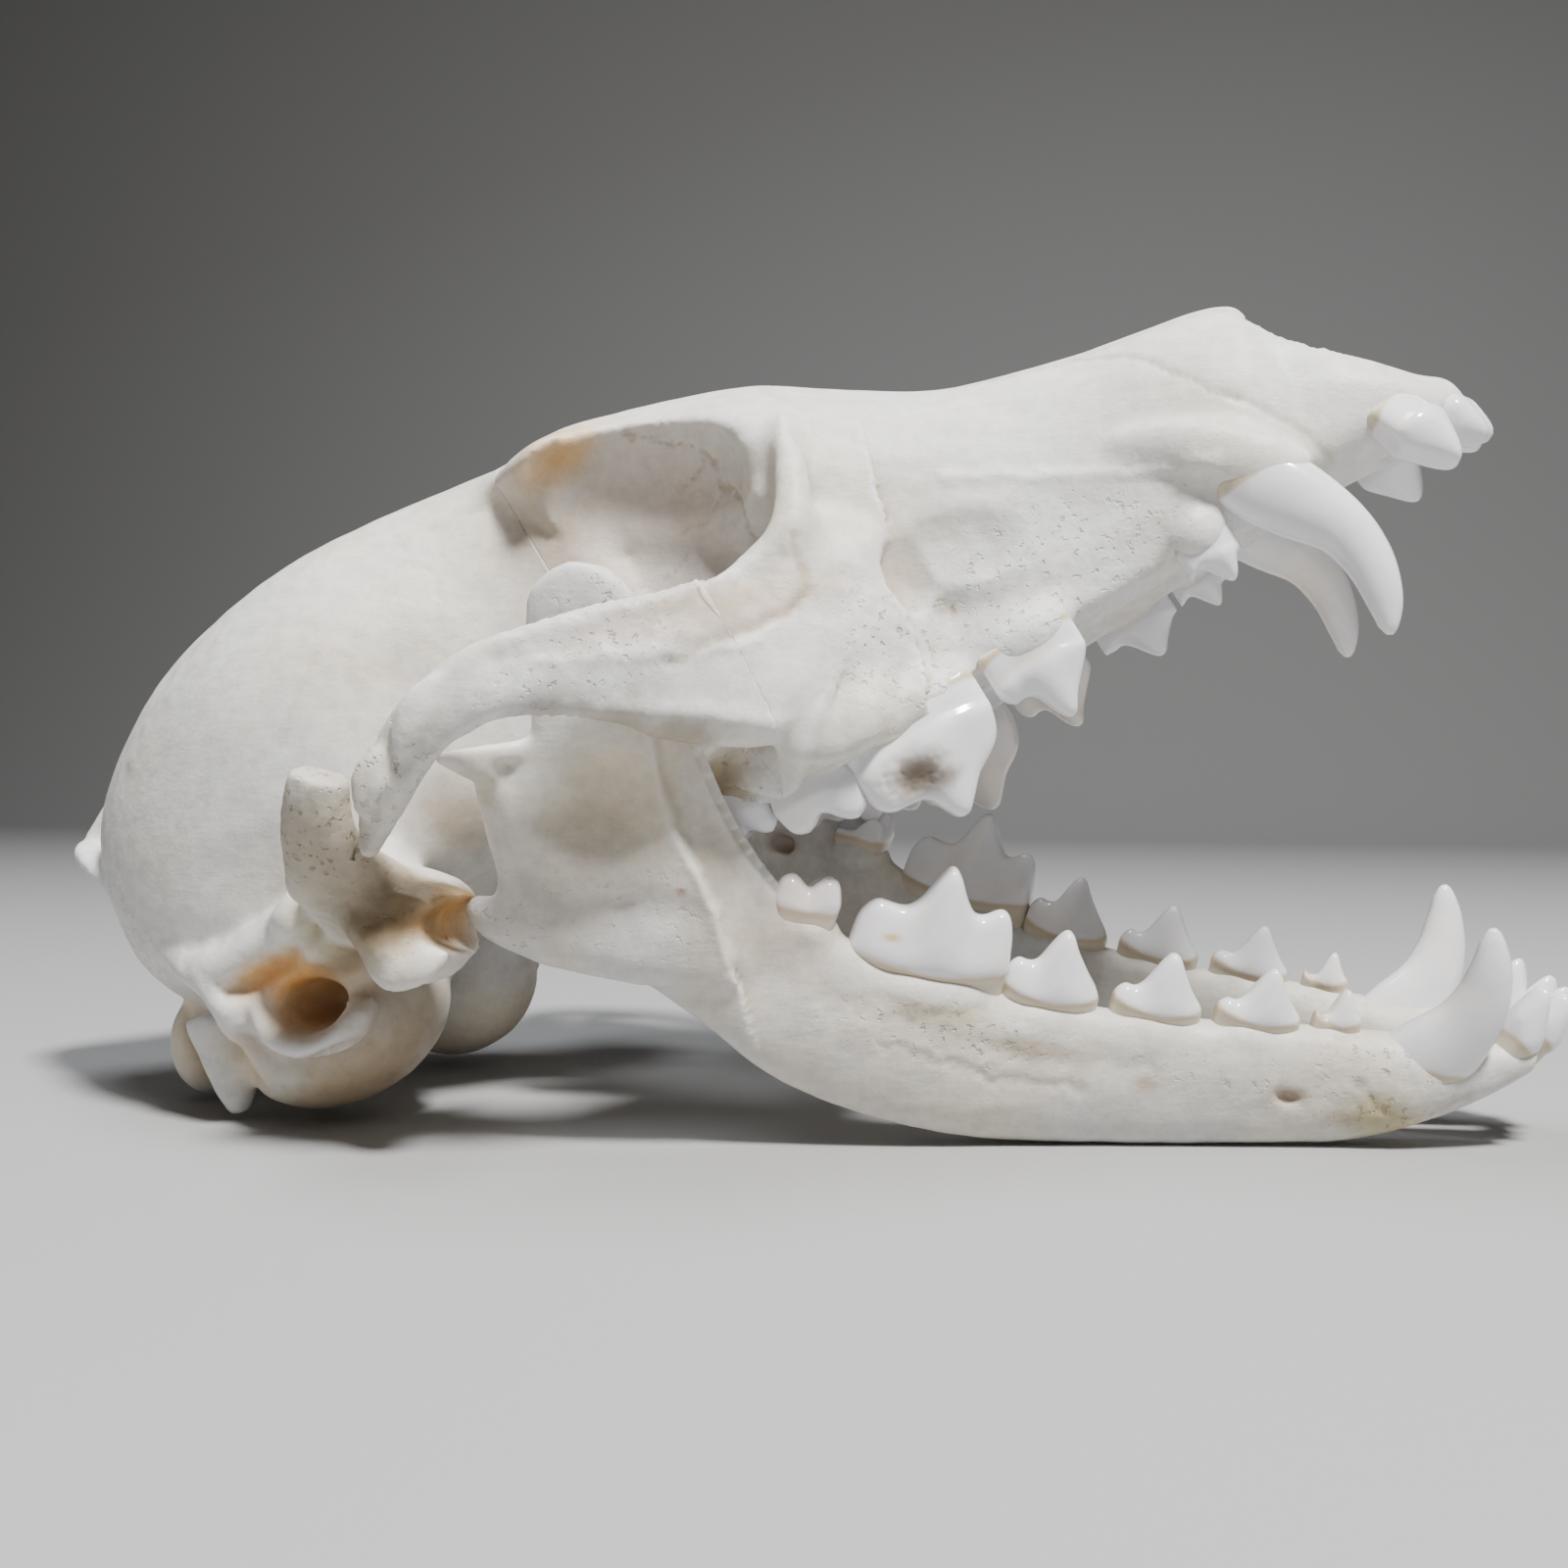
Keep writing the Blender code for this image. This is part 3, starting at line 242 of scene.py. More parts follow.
# Blade teeth: place along the jaw, distance from the middle, level of the neck, heading, lean,
# length, width, and an outline of pairs: place along the tooth, -0.5 to 0.5, and height
UPPER_BLADES = {
    "P1": (114.3, 9.9, 0.2, -4, -4, 5.4, 3.2, pointed(3.4, 0.12, 0.2)),
    "P2": (106.9, 11.4, 0.2, -9, -5, 8.8, 3.5, pointed(4.6, 0.08, 0.3)),
    "P3": (96.2, 13.2, 0.3, -12, -6, 9.4, 3.8, pointed(6.4, 0.04, 0.42)),
    "P4": (83.9, 17.2, 0.2, -18, -6, 14.2, 5.4,
           [(-0.5, 2.2), (-0.47, 4.4), (-0.38, 5.5), (-0.26, 5.7), (-0.16, 6), (-0.1, 7.4), (-0.04, 8.8),
            (0.03, 9), (0.11, 8), (0.22, 6.4), (0.34, 5.4), (0.43, 4.4), (0.48, 3), (0.5, 1.6)]),
    "I3": (134.9, 6.9, 0.8, -34, 20, 5.8, 5,
           [(-0.5, 2), (-0.3, 3.6), (0, 5.9), (0.2, 5.2), (0.4, 3.2), (0.5, 2)]),
    "I2": (138.4, 4.4, 0.4, -58, 24, 3.6, 4.4,
           [(-0.5, 2.6), (-0.3, 3.8), (0, 4.9), (0.3, 4), (0.5, 2.6)]),
    "I1": (139.8, 1.6, 0.2, -76, 24, 2.9, 4,
           [(-0.5, 2.6), (-0.3, 3.6), (0, 4.6), (0.3, 3.8), (0.5, 2.6)]),
}
UPPER_FANG = [
    (119.2, 9.6, 5.5, 5.6, 3.8),
    (121.2, 10.2, 3, 7.2, 4.6),
    (123, 10.6, -0.4, 6.8, 4.6),
    (124.6, 11.2, -4.2, 5.2, 4),
    (124.9, 11.6, -8, 4.3, 3.4),
    (124.2, 11.9, -11.4, 3.3, 2.7),
    (123.3, 12, -13.6, 2, 1.7),
    (122.8, 12, -14.5, 0.8, 0.8),
]
# Broad molars: place, heading, length, width, cusps as place in the crown, height and spread
UPPER_MILLS = {
    "M1": (73.6, 15.4, 1.2, 0, 9.6, 11.8,
           [(0.23, 0.33, 5.4, 3.2), (-0.24, 0.31, 4.2, 3), (0.06, -0.2, 3, 3), (0, 0.44, 3.2, 4.8)]),
    "M2": (66.9, 15, 3.2, 6, 6.6, 9,
           [(0.22, 0.3, 4.2, 2.4), (-0.22, 0.28, 3.4, 2.2), (0, -0.2, 2, 2.2), (0, 0.4, 2.4, 3.4)]),
}
LOWER_BLADES = {
    "m1": (47.9, 15.2, 11.6, -13, 6, 14.9, 5.8,
           [(-0.5, 2.8), (-0.47, 4.8), (-0.38, 6.2), (-0.28, 6), (-0.18, 6), (-0.1, 7.2), (-0.03, 9.2),
            (0.04, 10.4), (0.1, 9.7), (0.17, 7.6), (0.24, 6.2), (0.31, 6.3), (0.38, 7), (0.44, 6.8),
            (0.48, 5.4), (0.5, 3.6)]),
    "p4": (59.5, 12.4, 10.4, -13, 4, 9.2, 4.4, pointed(7.2, 0.06, 0.52)),
    "p3": (69.4, 10.4, 10.8, -11, 3, 8.5, 3.8, pointed(6.4, 0.08, 0.4)),
    "p2": (78.7, 8.8, 11.6, -10, 3, 8, 3.5, pointed(5.8, 0.08, 0.36)),
    "p1": (86, 7.2, 12.6, -11, 2, 4.6, 2.9, pointed(4, 0.08, 0.2)),
    "i3": (102.2, 4.9, 13.8, -46, 12, 3.4, 3.9,
           [(-0.5, 3.4), (-0.3, 5), (0, 6.6), (0.3, 5), (0.5, 3.2)]),
    "i2": (104.2, 3.2, 14.2, -62, 20, 2.7, 3.7,
           [(-0.5, 3), (-0.3, 4.4), (0, 5.7), (0.3, 4.4), (0.5, 3)]),
    "i1": (105, 1.3, 14.4, -80, 20, 2.1, 3.5,
           [(-0.5, 3), (-0.3, 4.2), (0, 5.1), (0.3, 4.2), (0.5, 3)]),
}
LOWER_FANG = [
    (89.6, 5.2, 7, 5.4, 3.8),
    (92.8, 5.9, 9.2, 7.4, 4.8),
    (95.2, 6.7, 12.2, 7.6, 5),
    (96.9, 7.6, 15.6, 6, 4.4),
    (97.5, 8.4, 18.8, 4.8, 3.7),
    (97.3, 9, 21.8, 3.6, 2.9),
    (96.8, 9.3, 24.2, 2.2, 1.8),
    (96.5, 9.4, 25.4, 0.8, 0.8),
]
LOWER_MILLS = {
    "m2": (36.2, 18.1, 15.4, -14, 6.6, 5.4,
           [(0.26, 0.2, 4, 2.4), (-0.26, 0.2, 3.8, 2.3), (0.22, -0.25, 3.2, 2.3)]),
    "m3": (31, 19.4, 17.8, -14, 3, 2.8, [(0, 0, 1.8, 2.2)]),
}
LEFT_ROW_SHIFT = 1.1
MISSING_RIGHT = ("P2",)


# Curves and closed shapes
def catmull(before, start, end, after, t):
    """One value on the smooth curve from start to end."""
    slope_in = (end - before) / 2
    slope_out = (after - start) / 2
    a = 2 * start - 2 * end + slope_in + slope_out
    b = 3 * end - 3 * start - 2 * slope_in - slope_out
    return ((a * t + b) * t + slope_in) * t + start


def smooth_rows(rows, steps):
    """Rows of numbers with steps pieces between each two of them, on smooth curves."""
    last = len(rows) - 1
    result = []
    for i in range(last):
        four = (rows[max(i - 1, 0)], rows[i], rows[i + 1], rows[min(i + 2, last)])
        for step in range(steps):
            result.append([catmull(a, b, c, d, step / steps) for a, b, c, d in zip(*four)])
    result.append(list(rows[last]))
    return result


def shape_object(name, bm):
    """A closed bmesh as an object, with its faces pointing out."""
    bmesh.ops.recalc_face_normals(bm, faces=bm.faces)
    mesh = bpy.data.meshes.new(name)
    bm.to_mesh(mesh)
    bm.free()
    obj = bpy.data.objects.new(name, mesh)
    bpy.context.scene.collection.objects.link(obj)
    return obj


def lay_face(face, ring):
    for loop, point in zip(face.loops, ring):
        loop.vert.co = point


def drawn_out(name, rings):
    """A capped circle that is drawn out from ring to ring."""
    bm = bmesh.new()
    bmesh.ops.create_circle(bm, cap_ends=True, segments=len(rings[0]), radius=1)
    bm.faces.ensure_lookup_table()
    cap = bm.faces[0]
    lay_face(cap, rings[0])
    first = True
    for ring in rings[1:]:
        made = bmesh.ops.extrude_face_region(bm, geom=[cap])["geom"]
        if not first:
            bmesh.ops.delete(bm, geom=[cap], context="FACES_ONLY")
        first = False
        cap = next(item for item in made if isinstance(item, bmesh.types.BMFace))
        lay_face(cap, ring)
    return shape_object(name, bm)


def squared(angle, power):
    """The sides of a circle, flattened towards a square or a diamond by the power."""
    c, s = math.cos(angle), math.sin(angle)
    return math.copysign(abs(c) ** power, c), math.copysign(abs(s) ** power, s)


def section(row, sides, square):
    """An upright ring across the skull, with a last column for its squareness where it varies."""
    x, half_width, top, middle, bottom = row[:5]
    square = row[5] if len(row) > 5 else square
    ring = []
    for i in range(sides):
        across, up = squared(2 * math.pi * i / sides, square)
        reach = top - middle if up > 0 else middle - bottom
        ring.append(Vector((x, half_width * across, middle + reach * up)))
    return ring


def body(name, rows, square=0.86):
    return drawn_out(name, [section(row, BODY_SIDES, square) for row in smooth_rows(rows, ROW_STEPS)])


def bar(name, rows, side, outward=(0, 1, 0), sides=20, steps=ROW_STEPS, power=0.85):
    """A bar that follows a path: each row is x, y, z, depth and thickness towards outward."""
    path = smooth_rows(rows, steps)
    centres = [Vector((x, y * side, z)) for x, y, z, depth, thickness in path]
    facing = Vector((outward[0], outward[1] * side, outward[2]))
    rings = []
    for i, centre in enumerate(centres):
        ahead = centres[min(i + 1, len(centres) - 1)]
        behind = centres[max(i - 1, 0)]
        along = (ahead - behind).normalized()
        out = (facing - along * facing.dot(along)).normalized()
        rise = along.cross(out)
        depth, thickness = path[i][3], path[i][4]
        ring = []
        for k in range(sides):
            c, s = squared(2 * math.pi * k / sides, power)
            ring.append(centre + out * (c * thickness / 2) + rise * (s * depth / 2))
        rings.append(ring)
    return drawn_out(name, rings)


def turned(degrees):
    return Euler([math.radians(angle) for angle in degrees]).to_matrix().to_4x4()


def stretched(centre, size, turn):
    """The place of a unit shape that is sized, turned in degrees and moved."""
    return Matrix.Translation(Vector(centre)) @ turned(turn) @ Matrix.Diagonal((*size, 1))


def to_side(side):
    """What is drawn on the left, on the given side of the middle."""
    return Matrix.Diagonal((1, side, 1, 1))


def ball(name, centre, radii, turn=(0, 0, 0), side=LEFT, detail=32):
    """An oval ball, turned in degrees, on the given side of the middle."""
    bm = bmesh.new()
    bmesh.ops.create_uvsphere(bm, u_segments=detail, v_segments=detail // 2 + 2, radius=1)
    bmesh.ops.transform(bm, matrix=to_side(side) @ stretched(centre, radii, turn), verts=bm.verts)
    return shape_object(name, bm)


def box(name, centre, size, turn=(0, 0, 0)):
    bm = bmesh.new()
    bmesh.ops.create_cube(bm, size=1)
    bmesh.ops.transform(bm, matrix=stretched(centre, size, turn), verts=bm.verts)
    return shape_object(name, bm)


def bake(obj):
    """Give the object its evaluated mesh and drop its modifiers."""
    graph = bpy.context.evaluated_depsgraph_get()
    mesh = bpy.data.meshes.new_from_object(obj.evaluated_get(graph))
    obj.modifiers.clear()
    obj.data = mesh
    return obj


def discard(objects):
    for obj in objects:
        bpy.data.objects.remove(obj)


def boolean(obj, operation, others, solver="EXACT"):
    """One Boolean between the object and a collection of closed pieces, applied."""
    group = bpy.data.collections.new("operands")
    bpy.context.scene.collection.children.link(group)
    for other in others:
        group.objects.link(other)
    change = obj.modifiers.new(operation.lower(), "BOOLEAN")
    change.operation = operation
    change.operand_type = "COLLECTION"
    change.collection = group
    change.solver = solver
    bake(obj)
    discard(others)
    bpy.data.collections.remove(group)
    return obj


def soften(obj, passes):
    """A modifier that evens out the surface."""
    even = obj.modifiers.new("soften", "SMOOTH")
    even.factor = 0.5
    even.iterations = passes
    return even


def skin(obj, grain, passes):
    """One even skin over everything in the object, softened."""
    remesh = obj.modifiers.new("skin", "REMESH")
    remesh.mode = "VOXEL"
    remesh.voxel_size = grain
    soften(obj, passes)
    return bake(obj)


def thin_out(obj, triangles):
    """Bring a piece down to the given number of triangles."""
    count = sum(len(face.vertices) - 2 for face in obj.data.polygons)
    if count > triangles:
        thin = obj.modifiers.new("thin", "DECIMATE")
        thin.ratio = triangles / count
        bake(obj)
    return obj


def split(obj):
    """The largest separate surfaces of a mesh, at most one more than the cranium's pieces, as objects of
    their own, largest first.
    """
    mesh = obj.data
    count = len(mesh.vertices)
    ends = np.empty(len(mesh.edges) * 2, np.int64)
    mesh.edges.foreach_get("vertices", ends)
    ends = ends.reshape(-1, 2)
    label = np.arange(count)
    while True:
        low = np.minimum(label[ends[:, 0]], label[ends[:, 1]])
        fresh = label.copy()
        np.minimum.at(fresh, ends[:, 0], low)
        np.minimum.at(fresh, ends[:, 1], low)
        fresh = fresh[fresh]
        if np.array_equal(fresh, label):
            break
        label = fresh
    values, sizes = np.unique(label, return_counts=True)
    pieces = []
    for value in values[np.argsort(-sizes)]:
        bm = bmesh.new()
        bm.from_mesh(mesh)
        bm.verts.ensure_lookup_table()
        spare = [vert for vert, mark in zip(bm.verts, label) if mark != value]
        bmesh.ops.delete(bm, geom=spare, context="VERTS")
        pieces.append(shape_object("piece", bm))
        if len(pieces) == CRANIUM_PIECES + 1:
            break
    discard([obj])
    return pieces


# Surface work on finished skins, all in the drafting frames
def triples(rows, key):
    values = np.empty(len(rows) * 3, np.float32)
    rows.foreach_get(key, values)
    return values.reshape(-1, 3).astype(float)


def points_of(mesh):
    return triples(mesh.vertices, "co")


def normals_of(mesh):
    return triples(mesh.vertex_normals, "vector")


def move_points(mesh, points):
    mesh.vertices.foreach_set("co", points.astype(np.float32).ravel())
    mesh.update()


def roughness(points, scale, seed=0):
    """Smooth random values from -1 to 1 at the points, about one swing per 1 / scale millimetres."""
    return np.array([noise.noise(point) for point in points * scale + seed])


def waves(points, rows):
    """Layers of unevenness: each row is how far it swings, swings per millimetre, and a seed."""
    return sum(swing * roughness(points, scale, seed) for swing, scale, seed in rows)


def spot(points, centre, radii, ragged=0, seed=0):
    """How far each point is inside a soft oval spot: 1 in its middle, 0 well outside."""
    away = (((points - np.array(centre)) / np.array(radii)) ** 2).sum(1)
    near = away < SPOT_END
    value = np.zeros(len(points))
    inside = away[near]
    if ragged:
        inside = inside * (1 + ragged * roughness(points[near], 0.7, seed)
                           + 0.6 * ragged * roughness(points[near], 2.1, seed + 3))
    value[near] = np.exp(-np.clip(inside, 0, SPOT_END) ** 1.6)
    return value


def path_gap(points, path, wander=0):
    """Each point's distance to a drawn path, and on its left (positive) or right (negative) side."""
    moved = points.copy()
    if wander:
        flat = np.zeros((len(points), 3))
        flat[:, :2] = points
        for axis in (0, 1):
            moved[:, axis] += wander * roughness(flat, 0.6, 11 * axis + 5)
            moved[:, axis] += 0.4 * wander * roughness(flat, 1.9, 17 * axis + 2)
    best = np.full(len(points), 1e9)
    hand = np.ones(len(points))
    for start, end in zip(path, path[1:]):
        start, end = np.array(start, float), np.array(end, float)
        along = end - start
        share = np.clip(((moved - start) @ along) / (along @ along), 0, 1)
        gap = np.linalg.norm(moved - start - share[:, None] * along, axis=1)
        closer = gap < best
        best[closer] = gap[closer]
        turned = along[0] * (moved[:, 1] - start[1]) - along[1] * (moved[:, 0] - start[0])
        hand[closer] = np.where(turned[closer] > 0, 1, -1)
    return best, hand


# How squarely bone must face a drawing plane, and how far from the middle a side begins
TOP_FACING = 0.15
SIDE_FACING = 0.08
SIDE_START = 4
LEDGE_SHARPNESS = 0.35
LEDGE_WANDER = 0.25


def seen_flat(points, normals, plane, side, path, margin):
    """The points that face a drawing plane near a path, and their places on it."""
    if plane == "top":
        facing = normals[:, 2] > TOP_FACING
        flat = points[:, (0, 1)]
    else:
        facing = (normals[:, 1] * side > SIDE_FACING) & (points[:, 1] * side > SIDE_START)
        flat = points[:, (0, 2)]
    low = np.min(path, axis=0) - margin
    high = np.max(path, axis=0) + margin
    return facing & np.all((flat > low) & (flat < high), axis=1), flat


def stroke(points, normals, plane, side, path, width, wander=0):
    """A line drawn on the bone: 1 on it, 0 away from it. The line may wander."""
    near, flat = seen_flat(points, normals, plane, side, path, 3 * width + 2 * wander)
    value = np.zeros(len(points))
    value[near] = np.exp(-(path_gap(flat[near], path, wander)[0] / width) ** 2)
    return value


def ledge(points, normals, side, path, reach):
    """A step at a drawn edge: 1 just left of the path, fading over its reach, and 0 to its right."""
    near, flat = seen_flat(points, normals, "side", side, path, 2.5 * reach)
    value = np.zeros(len(points))
    gap, hand = path_gap(flat[near], path, LEDGE_WANDER)
    value[near] = (0.5 + 0.5 * np.tanh(gap * hand / LEDGE_SHARPNESS)) * np.exp(-(gap / reach) ** 2)
    return value


def keep_values(obj, name, values):
    layer = obj.data.attributes.new(name, "FLOAT", "POINT")
    layer.data.foreach_set("value", np.clip(values, 0, 1).astype(np.float32))


def keep_tint(obj, tint):
    layer = obj.data.attributes.new("tint", "FLOAT_COLOR", "POINT")
    full = np.ones((len(tint), 4), np.float32)
    full[:, :3] = np.clip(tint, 0, 1)
    layer.data.foreach_set("color", full.ravel())


def stained(points, spots):
    """The colour that the named stains and painted shades leave on each point, to be multiplied into the
    bone's own.
    """
    tint = np.ones((len(points), 3))
    for seed, (centre, radii, colour, strength) in enumerate(spots):
        amount = strength * spot(points, centre, radii, RAGGED, 7 * seed)
        tint *= 1 - amount[:, None] * (1 - np.array(colour))
    return tint


def blend_joins(obj, places):
    """Soften the joins between a bone's parts inside oval places."""
    points = points_of(obj.data)
    for passes, spots in places:
        amount = np.zeros(len(points))
        for centre, radii in spots:
            amount = np.maximum(amount, spot(points, centre, radii))
        group = obj.vertex_groups.new(name="join")
        steps = np.round(amount * JOIN_STEPS).astype(int)
        for step in range(1, JOIN_STEPS + 1):
            group.add(np.nonzero(steps == step)[0].tolist(), step / JOIN_STEPS, "REPLACE")
        soften(obj, passes).vertex_group = group.name
        bake(obj)
        obj.vertex_groups.clear()
    return obj


def both(rows):
    """The same places on the right and the left."""
    return [((x, y * side, z), *rest) for (x, y, z), *rest in rows for side in PAIR]


def hollows_of(obj, points, normals, passes):
    """How far each point lies below a softened copy of its surface, in millimetres."""
    soften(obj, passes)
    graph = bpy.context.evaluated_depsgraph_get()
    softer = points_of(obj.evaluated_get(graph).data)
    obj.modifiers.clear()
    return ((softer - points) * normals).sum(1)


AMBER = (1, 0.66, 0.3)
HONEY = (0.97, 0.84, 0.62)
BROWN = (0.6, 0.48, 0.36)
UMBER = (0.46, 0.39, 0.28)
# Dust colour, also used for painted shade on the broken temple stub
DUST_AND_SHADE = (0.56, 0.51, 0.43)
OLIVE = (0.74, 0.69, 0.44)
DECAY = (0.2, 0.15, 0.11)
OCHRE = (0.86, 0.62, 0.3)
ROSE = (0.9, 0.82, 0.78)
BLOOD = (0.5, 0.18, 0.12)


# The bone's swelling over a tooth's roots: share of the tooth's length, margin, height and lift
UPPER_SWELL = (0.54, 0.8, 2.8, 2)
LOWER_SWELL = (0.54, 0.7, 2.5, -1.8)
MILL_SWELL = (0.56, 0.7, 2.6, -1.8)


def root_swell(place, heading, length, width, swell, side):
    x, y, z = place
    share, margin, height, lift = swell
    radii = (length * share, width * 0.5 + margin, height)
    return ball("root_swell", (x, y, z + lift), radii, turn=(0, 0, heading), side=side)


# Cranium
def cranium_side(side):
    temple = TEMPLE_STUB if side == RIGHT else TEMPLE_PROCESS
    pieces = [
        bar("cheek_arch", CHEEK_ARCH, side),
        bar("temple_process", temple, side),
        bar("nuchal_crest", NUCHAL_CREST, side, outward=(1, 0.4, 0.5)),
        bar("ear_ridge", [
            (36, 19, 14.4, 7.4, 6.4), (28, 19.6, 15, 6.4, 6.4), (20, 19.8, 15.4, 5.4, 6),
            (12, 19.4, 16.4, 4, 4.6),
        ], side),
        ball("ear_shelf", (23, 17.4, 11.8), (10, 4.7, 4.6), turn=(0, 12, 0), side=side),
        bar("brow", [
            (60, 8.6, 43.4, 4, 4), (65, 12.6, 42.8, 4, 5), (68.2, 16, 41.4, 2.8, 4.4),
            (69, 17.4, 40.6, 1.6, 2.4),
        ], side, outward=(1, 0, 0)),
        ball("bulla", (19.4, 13.4, 6.7), (11, 7.3, 8.4), turn=(0, 4, -22), side=side),
        ball("bulla_front", (28, 9.2, 8.4), (4.6, 3.6, 3.8), side=side),
        ball("ear_rim", (20.8, 19.2, 7.8), (5.2, 3.8, 3.9), turn=(0, 26, 0), side=side),
        ball("mastoid", (13, 20, 11.2), (2.4, 2.4, 3), turn=(0, -20, 0), side=side),
        bar("paroccipital", [
            (9.2, 15.2, 14, 8.8, 7.4), (7.8, 15.6, 9.5, 6.8, 5), (6.8, 16, 6.2, 4.4, 3.2),
            (6, 16.3, 3.8, 2, 1.8),
        ], side),
        ball("condyle", (1.3, 7.9, 13.2), (3.8, 4.4, 5.6), turn=(12, 24, 14), side=side),
        ball("glenoid", (36.9, 24.6, 8.6), (6.7, 7.6, 4.1), turn=(0, 32, -8), side=side),
        ball("postglenoid", (35.7, 25, 6.7), (4.8, 6.2, 3.3), turn=(0, 28, -8), side=side),
        bar("joint_lip", [
            (33, 28.2, 7.4, 2.4, 1.8), (34.6, 29.8, 5.2, 3, 2.2), (37.2, 30.4, 4.3, 3, 2.4),
            (39, 29.8, 4.7, 3, 2.6), (40.2, 28.6, 6, 2, 2),
        ], side),
        bar("canine_root", [
            (124, 10.3, 1, 5.6, 3.6), (121.5, 10.4, 5, 6, 4.4), (117.5, 10, 9.5, 5.4, 4.2),
            (112.5, 9.4, 13, 3.4, 3),
        ], side),
        bar("pterygoid", [
            (66, 6.6, 6, 7, 2.4), (58, 6.6, 5.8, 7.6, 2.2), (51, 6.6, 6.6, 6.8, 2),
            (46.6, 6.4, 6.6, 5, 1.6), (44.6, 6.2, 6, 2.6, 1.4),
        ], side),
        bar("molar_shelf", [
            (82, 19, 3.6, 3.6, 2.4), (78.6, 20.4, 2.8, 4.6, 3), (75, 20.8, 2.9, 4.8, 3),
            (71.6, 20.3, 3, 5, 2.6), (69.2, 19.6, 4.4, 4.8, 2.6), (66.6, 18.2, 6.2, 4.6, 2.6),
            (65, 17, 7.2, 3.6, 2.2),
        ], side),
        bar("ear_lip", [
            (17.6, 20.4, 12.6, 1.2, 2), (16.2, 21.2, 10.4, 1.6, 2.4), (16.6, 21.7, 7.8, 1.8, 2.6),
            (18, 21.9, 5.7, 1.8, 2.8), (20.2, 21.9, 4.4, 1.8, 2.8), (22.8, 21.6, 3.9, 1.6, 2.6),
            (25.2, 20.8, 4.5, 1.4, 2.2), (26.4, 19.6, 5.8, 1, 1.8),
        ], side),
        ball("temple_foot", (29, 22.4, 14), (6.2, 4.2, 4.6), turn=(0, 10, 0), side=side),
        bar("socket_rim", [
            (88.8, 14.2, 32.4, 1.4, 1.2), (87.5, 16.6, 28.6, 2.8, 2.6), (86.2, 18.6, 24.4, 3.8, 3.4),
            (84, 20.2, 20.6, 4.2, 3.8), (80.9, 21.6, 18.6, 4, 3.4), (78.2, 22.8, 17.2, 2.4, 2.2),
        ], side),
        bar("cheek_foot", [
            (73.6, 22.4, 4.8, 2, 2), (75.6, 22.4, 4.2, 6, 3.4), (78.6, 21.8, 3.8, 6.8, 4),
            (82, 20, 5, 6, 3.6), (84.8, 18.4, 6.4, 3, 2),
        ], side),
    ]
    for name, (x, y, z, heading, lean, length, width, outline) in UPPER_BLADES.items():
        if name.startswith("P") and not (side == RIGHT and name in MISSING_RIGHT):
            pieces.append(root_swell((x, y - 0.3, z), heading, length, width, UPPER_SWELL, side))
    return pieces


def cranium_hollows(side):
    hollows = [
        ball("eye_socket", (72, 24.4, 32.2), (16, 15.6, 12), turn=(0, 6, 8), side=side, detail=64),
        ball("cheek_trough", (97.4, 18, 12.2), (10, 4.8, 6.6), turn=(0, 12, -13), side=side),
        ball("face_canal", (91.6, 17, 12.6), (2.6, 2.6, 4.2), turn=(0, 12, -13), side=side, detail=24),
        ball("ear_hole", (21.4, 21.8, 8.3), (3.7, 7, 2.7), turn=(0, 26, 0), side=side),
        ball("joint_hollow", (41.7, 26, 5.8), (3.6, 9, 2.5), turn=(0, 30, -8), side=side),
        ball("joint_face", (38.4, 36.4, 9), (7, 7.2, 4.4), turn=(0, 32, 0), side=side),
        ball("nerve_hole", (63.4, 9.6, 18.5), (1.3, 3, 1), side=side, detail=16),
        ball("nerve_hole", (60.6, 9.8, 14.6), (1.7, 3, 1.1), side=side, detail=16),
        ball("tear_hole", (85.8, 13, 27.4), (2.6, 1, 1), turn=(0, -20, 20), side=side, detail=16),
        ball("palate_hole", (126, 3, 0.6), (3.4, 1.1, 2.4), side=side, detail=16),
    ]
    if side == RIGHT:
        for x in (104.6, 108.8):
            hollows.append(ball("empty_socket", (x, 11.5, -0.4), (1.3, 0.8, 2.2), side=side, detail=16))
    return hollows


